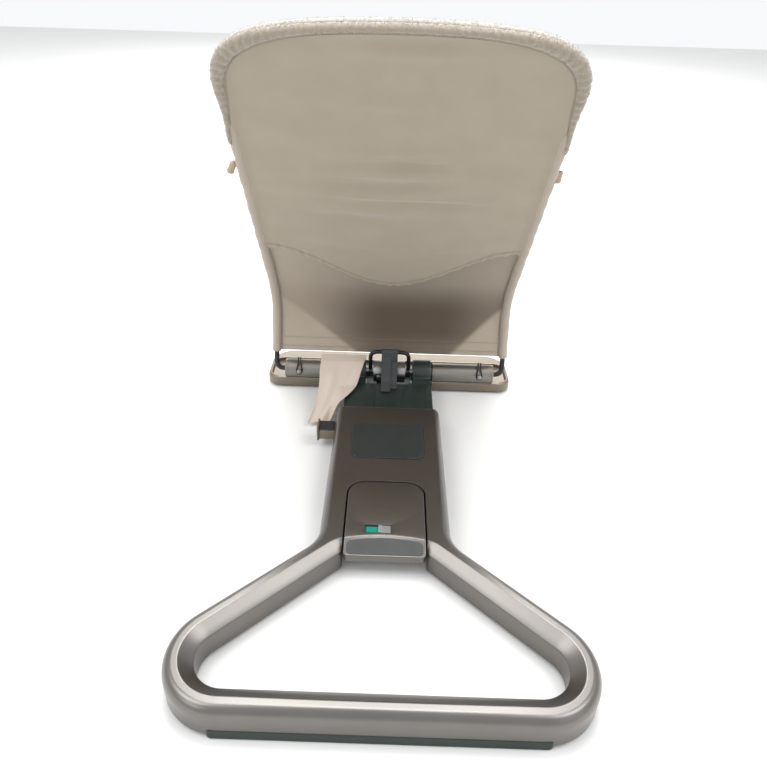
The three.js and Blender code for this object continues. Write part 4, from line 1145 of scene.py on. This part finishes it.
def roll(name, radial, half_r, middle, half_off, start, ripple, material, replaces=()):
    """A stuffed edge round the upper frame. radial, half_r: middle and half width across the wire as
    functions of the share round it; middle and half_off: its place and half thickness front to back."""
    n, sides = 560, 22
    line, out, share = round_top(start, n)
    rings = []
    a = np.linspace(0, TAU, sides, endpoint=False)
    c, d = np.cos(a), np.sin(a)
    for i in range(n):
        s = share[i]
        taper = math.sqrt(max(0.03, 1 - max(0.0, (abs(s) - 0.965) / 0.035) ** 2))
        wave = 0.6 * math.sin(i * 0.93 + 2 * math.sin(i * 0.11)) + 0.4 * math.sin(i * 0.41)
        pucker = 1 + ripple * wave \
            * np.clip(0.5 + 0.5 * c, 0, 1)
        r = radial(s) + half_r(s) * np.sign(c) * np.abs(c) ** 0.85 * pucker * taper
        swell = 1 + ripple * 0.5 * math.sin(i * 0.77)
        off = middle(s) + half_off(s) * np.sign(d) * np.abs(d) ** 0.85 * swell * taper
        spot = line[i] + out[i] * r[:, None]
        rings.append(seat_spots(spot[:, 0], spot[:, 1], off))
    points, faces = loft(rings, True, True, True)
    obj = tidy(piece(name, points, faces, along_uv(points, sides, 2.0)))
    settle(obj, "seat", material, replaces, 70)
    return obj


def rim_rolls():
    rim = roll("plush_rim_roll", lambda s: (rim_outer(s) + rim_inner(s)) / 2,
               lambda s: (rim_outer(s) - rim_inner(s)) / 2, lambda s: 2.2,
               lambda s: 5.6 + 1.6 * at_corner(s) + 2.4 * float(smooth(0.8, 1.0, abs(s))), 490, 0.12, PLUSH,
               ["plush_rim"])
    crest = roll("liner_edge_roll", lambda s: -1.4 + 3.4 * at_corner(s), lambda s: 5.2, lambda s: -7.0,
                 lambda s: 5.2, 500, 0.05, FLEECE, ())
    for source, density, tall, slot, material in ((rim, 420000, 1.5, "plush", PLUSH),
                                                  (crest, 300000, 2.0, "fleece", FLEECE)):
        copy = source.copy()
        copy.parent = None
        copy.data = source.data.copy()
        bpy.context.scene.collection.objects.link(copy)
        grown(source.name + "_pile", PILE, copy,
              {"Density": float(density), "Tuft Height": tall * MM, "Tuft Radius": 0.3 * MM,
               "Material": material}, "seat")


def flap():
    """The cover's loose tail: from the hem over the barrel and down beside the chassis."""
    across, along = 61, 91
    u, v = np.meshgrid(np.linspace(0, 1, across), np.linspace(0, 1, along))
    right, left = 41 + 19 * v + 28 * v ** 2, 121 + 10 * v ** 4
    x = right + (left - right) * u
    y = -290 + 138 * v + 5 * (u - 0.5) * v
    fall = np.maximum(0, (v - 0.15) / 0.85)
    over = 60 - 2.5 * np.minimum(1, v / 0.15)
    loose = over - (57.5 - 8) * fall
    z = loose + np.maximum(0, 37 - loose) * smooth(98, 80, x)
    fold = 2.0 * np.sin(u * 9.5 + 2.2 * v + 0.4) + 1.1 * np.sin(u * 21 - 3.0 * v + 1.0)
    z = z + fold * smooth(0.12, 0.6, v) * smooth(0, 0.1, u) + 0.8
    x = x + 1.6 * np.sin(v * 7 + 0.8) * smooth(0.1, 0.4, v)
    points = np.stack([x, y, z], -1).reshape(-1, 3)
    uvs = np.stack([np.ravel(x), np.ravel(y)], 1) * MM
    obj = piece("hanging_flap_cloth", points, loft([[0] * across] * along, False)[1], uvs)
    modify(obj, "SOLIDIFY", thickness=0.9 * MM, offset=0)
    bake(obj)
    settle(obj, None, FLAP_CLOTH, ["hanging_flap"], 60)
    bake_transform(obj)


def toggle_and_tab():
    spot = seat_spots(WIRE_HALF + 13.5, 446, 2)
    turn = math.radians(62)
    way = np.array([math.cos(turn), -math.sin(turn) * 0.4, -math.sin(turn)])
    way /= np.linalg.norm(way)
    ring = [(-8.5, 2.4), (-8, 4.2), (-6.4, 5.0), (-2, 4.4), (3, 4.6), (6.8, 5.2), (8.2, 4.4), (8.8, 2.2)]
    knob = tube([spot + way * s for s, _ in ring], [r for _, r in ring], 20)
    settle(merge_parts("side_toggle_knob", [knob]),
           "seat", TAN_TAPE, ["side_toggle"])
    start = seat_spots(WIRE_HALF + 3, 452, 2)
    line = even_line(np.concatenate([bezier(start, start + np.array([8, 0, 6]), spot + way * -7, 14),
                                     bezier(spot + way * -7, spot + np.array([1, 5, -2]), spot + way * 3, 8)]), 30)
    points, faces = tube(line, 1.5, 10)
    obj = tidy(piece("side_toggle_cord", points, faces, along_uv(points, 10, 1.5)))
    settle(obj, "seat", TAN_TAPE)
    fold = seat_spots(-WIRE_HALF - np.array([5, 9, 12, 13.4, 12, 8.5, 5.5]), 446.0,
                      [3.4, 3.6, 3.0, 1.6, 0.2, -0.4, -0.4])
    tab = band("side_tab_tape", fold, [(0, 0.3, 0.95)] * 7, 8.0, 1.0)
    settle(tab, "seat", TAN_TAPE, ["side_tab"])


upper_panel()
lower_panel()
side_casings()
rim_rolls()
flap()
toggle_and_tab()


# ---------------------------------------------------------------- seat: liner and harness on the front
def puff(obj, voxel, pressure, cap):
    """Fills a closed pad by cloth pressure; no point moves further than cap mm from its sewn shape."""
    modify(obj, "REMESH", mode="VOXEL", voxel_size=voxel * MM)
    bake(obj)
    before = np.array([v.co for v in obj.data.vertices])
    cloth_modifier = modify(obj, "CLOTH")
    cloth_modifier.settings.use_pressure = True
    cloth_modifier.settings.uniform_pressure_force = pressure
    cloth_modifier.settings.effector_weights.gravity = 0
    cloth_modifier.point_cache.frame_start, cloth_modifier.point_cache.frame_end = 1, 20
    for number in range(1, 21):
        bpy.context.scene.frame_set(number)
    bake(obj)
    bpy.context.scene.frame_set(1)
    after = np.array([v.co for v in obj.data.vertices])
    if len(after) == len(before):
        move = after - before
        far = np.linalg.norm(move, axis=1)[:, None]
        after = before + move * np.minimum(1, cap * MM / np.maximum(far, 1e-9))
        obj.data.vertices.foreach_set("co", after.astype(np.float32).ravel())
        obj.data.update()
    return obj


def liner():
    low, high = HEM + 5, LENGTH - 13
    rings = []
    for v in np.linspace(0, 1, 81):
        t = low + (high - low) * (0.5 - 0.5 * math.cos(math.pi * v))
        thick = 3.4 + 1.9 * (1 - abs(2 * v - 1) ** 8)
        half = float(half_at(t, 10.0)) - thick
        a = np.radians(np.linspace(-90, 90, 9))
        right = np.stack([half + thick * np.cos(a), thick * np.sin(a)], 1)
        across = np.linspace(half, -half, 41)[1:-1]
        x = np.concatenate([right[:, 0], across, -right[::-1, 0], -across])
        off = np.concatenate([right[:, 1], np.full(39, thick), right[::-1, 1], np.full(39, -thick)])
        rings.append(seat_spots(x, t, -15.0 + off))
    obj = merge_parts("liner_padded", [loft(rings, True, True, True)])
    puff(obj, 5, 4, 5)
    points = np.array([v.co for v in obj.data.vertices]) / MM
    near = np.stack([np.interp(np.arange(0, LENGTH), RUN, SIDE[:, k]) for k in (0, 1)], 1)
    t = np.argmin(((points[:, None, 1:] - near[None, ::4]) ** 2).sum(2), axis=1) * 4.0
    ly, lz = np.interp(t, RUN, LEAN[:, 0]), np.interp(t, RUN, LEAN[:, 1])
    base = seat_spots(points[:, 0], t, 0)
    off = (points[:, 1] - base[:, 1]) * lz - (points[:, 2] - base[:, 2]) * ly
    press = np.zeros(len(points))
    for channel in (120, 185, 250, 315, 380, 445, 510, 575):
        bow = channel + 10 * (points[:, 0] / 190) ** 2
        press = np.maximum(press, np.exp(-((t - bow) / 5.5) ** 2))
    edge = np.maximum(press, np.exp(-((np.abs(points[:, 0]) - 150) / 5.5) ** 2) * (t < 590))
    move = 4.2 * edge * (off < -14)
    points[:, 1] += move * lz
    points[:, 2] -= move * ly
    obj.data.vertices.foreach_set("co", (points * MM).astype(np.float32).ravel())
    obj.data.update()
    modify(obj, "SMOOTH", factor=0.5, iterations=2)
    modify(obj, "SUBSURF", levels=1, render_levels=1)
    bake(obj)
    settle(obj, "seat", FLEECE, ["seat_liner"], 180)


def harness():
    t = np.linspace(72, 190, 30)
    width = 15 + 9 * smooth(150, 80, t) + 4 * smooth(170, 190, t)
    tongue = band("crotch_strap_cloth", seat_spots(0, t, -27.5 - 2 * np.sin(np.pi * (t - 72) / 118)),
                  [(1, 0, 0)] * 30, width, 2.4)
    settle(tongue, "seat", CANVAS, ["crotch_strap"])
    for word, side in (("left", 1), ("right", -1)):
        x = np.linspace(20, 182, 26)
        off = -26.5 - 2.5 * np.sin(np.pi * (x - 20) / 162) + 3.5 * smooth(150, 182, x)
        line = seat_spots(side * x, 223 + 6 * smooth(60, 182, x), off)
        across = np.array([0, *UPWARD])
        strap = band(f"waist_strap_webbing_{word}", line, [across] * 26, 12.5, 1.6)
        settle(strap, "seat", WEBBING, [f"waist_strap_{word}"])
    parts = []
    for grow, low, high in ((0, 22.0, 29.6), (-7, 29.0, 31.0)):
        outline = lambda g: round_rect(-24 - grow, 24 + grow, 198 - grow, 244 + grow, 12, 12, g, 8)
        points, faces = rounded_slab(outline, low, high, 1.4)
        parts.append((seat_spots(*np.array(points)[:, :2].T, -np.array(points)[:, 2]), faces))
    settle(merge_parts("buckle_shell", parts), "seat", BUTTON_DARK, ["harness_buckle"])


liner()
harness()

# the CAD nodes that are shown as they are
KEPT = {"tray_screw_1": STEEL, "tray_screw_2": STEEL, "tray_screw_3": STEEL, "tray_screw_4": STEEL,
        "pedal_hinge_pin": STEEL, "bail_pivot_pin": STEEL, "cross_shaft": STEEL}
for name, material in KEPT.items():
    node = frame["nodes"][name]
    node.data.materials.clear()
    node.data.materials.append(material)


# ---------------------------------------------------------------- studio
def studio():
    floor = merge_parts("studio_floor", [([(x * 1000, y * 1000, -0.2) for x, y in
                                           ((-7, -9), (7, -9), (7, 5), (-7, 5))], [(0, 1, 2, 3)])])
    paper, tree, shader, where = new_material("white_paper", Roughness=0.9)
    _, tint = mottle(tree, where, 400, "dededc", "e3e3e1")
    tree.links.new(tint, shader.inputs["Base Color"])
    floor.data.materials.append(paper)
    world = bpy.data.worlds.new("studio")
    bpy.context.scene.world = world
    world.use_nodes = True
    world.node_tree.nodes["Background"].inputs["Color"].default_value = (0.97, 0.98, 1.0, 1)
    world.node_tree.nodes["Background"].inputs["Strength"].default_value = 0.97
    for name, place, size, power, aim in (("ceiling", (0, -1.0, 2.35), 1.7, 74, (0, 0, 0.1)),
                                          ("side_left", (1.25, 0.4, 1.85), 1.0, 15, (0, 0.2, 0)),
                                          ("side_right", (-1.25, 0.4, 1.85), 1.0, 15, (0, 0.2, 0)),
                                          ("far_floor", (0, -4.6, 2.4), 3.0, 120, (0, -4.6, 0)),
                                          ("window", (1.9, 1.7, 1.5), 1.2, 9, (0, -0.1, 0.3)),
                                          ("fill", (-1.5, 1.4, 0.9), 1.2, 2, (0, -0.1, 0.3))):
        lamp = bpy.data.lights.new(name, "AREA")
        lamp.energy, lamp.size = power, size
        lamp_object = bpy.data.objects.new(name, lamp)
        lamp_object.location = place
        way = Vector(aim) - Vector(place)
        lamp_object.rotation_euler = way.to_track_quat("-Z", "Y").to_euler()
        bpy.context.scene.collection.objects.link(lamp_object)
    bpy.context.scene.view_settings.view_transform = "Standard"


def camera():
    pitch, yaw, tilt = (math.radians(a) for a in (31.7, -0.24, 1.75))
    ahead = Vector((-math.sin(yaw) * math.cos(pitch), -math.cos(yaw) * math.cos(pitch),
                    -math.sin(pitch)))
    right = Vector((-math.cos(yaw), math.sin(yaw), 0))
    down = ahead.cross(right)
    across = right * math.cos(tilt) - down * math.sin(tilt)
    up = -(down * math.cos(tilt) + right * math.sin(tilt))
    lens = bpy.data.cameras.new("camera")
    lens.lens = 30.5
    eye = bpy.data.objects.new("camera", lens)
    turn = Matrix((across, up, -ahead)).transposed().to_4x4()
    eye.matrix_world = Matrix.Translation((0.0053, 0.728, 0.631)) @ turn
    bpy.context.scene.collection.objects.link(eye)
    bpy.context.scene.camera = eye


studio()
camera()
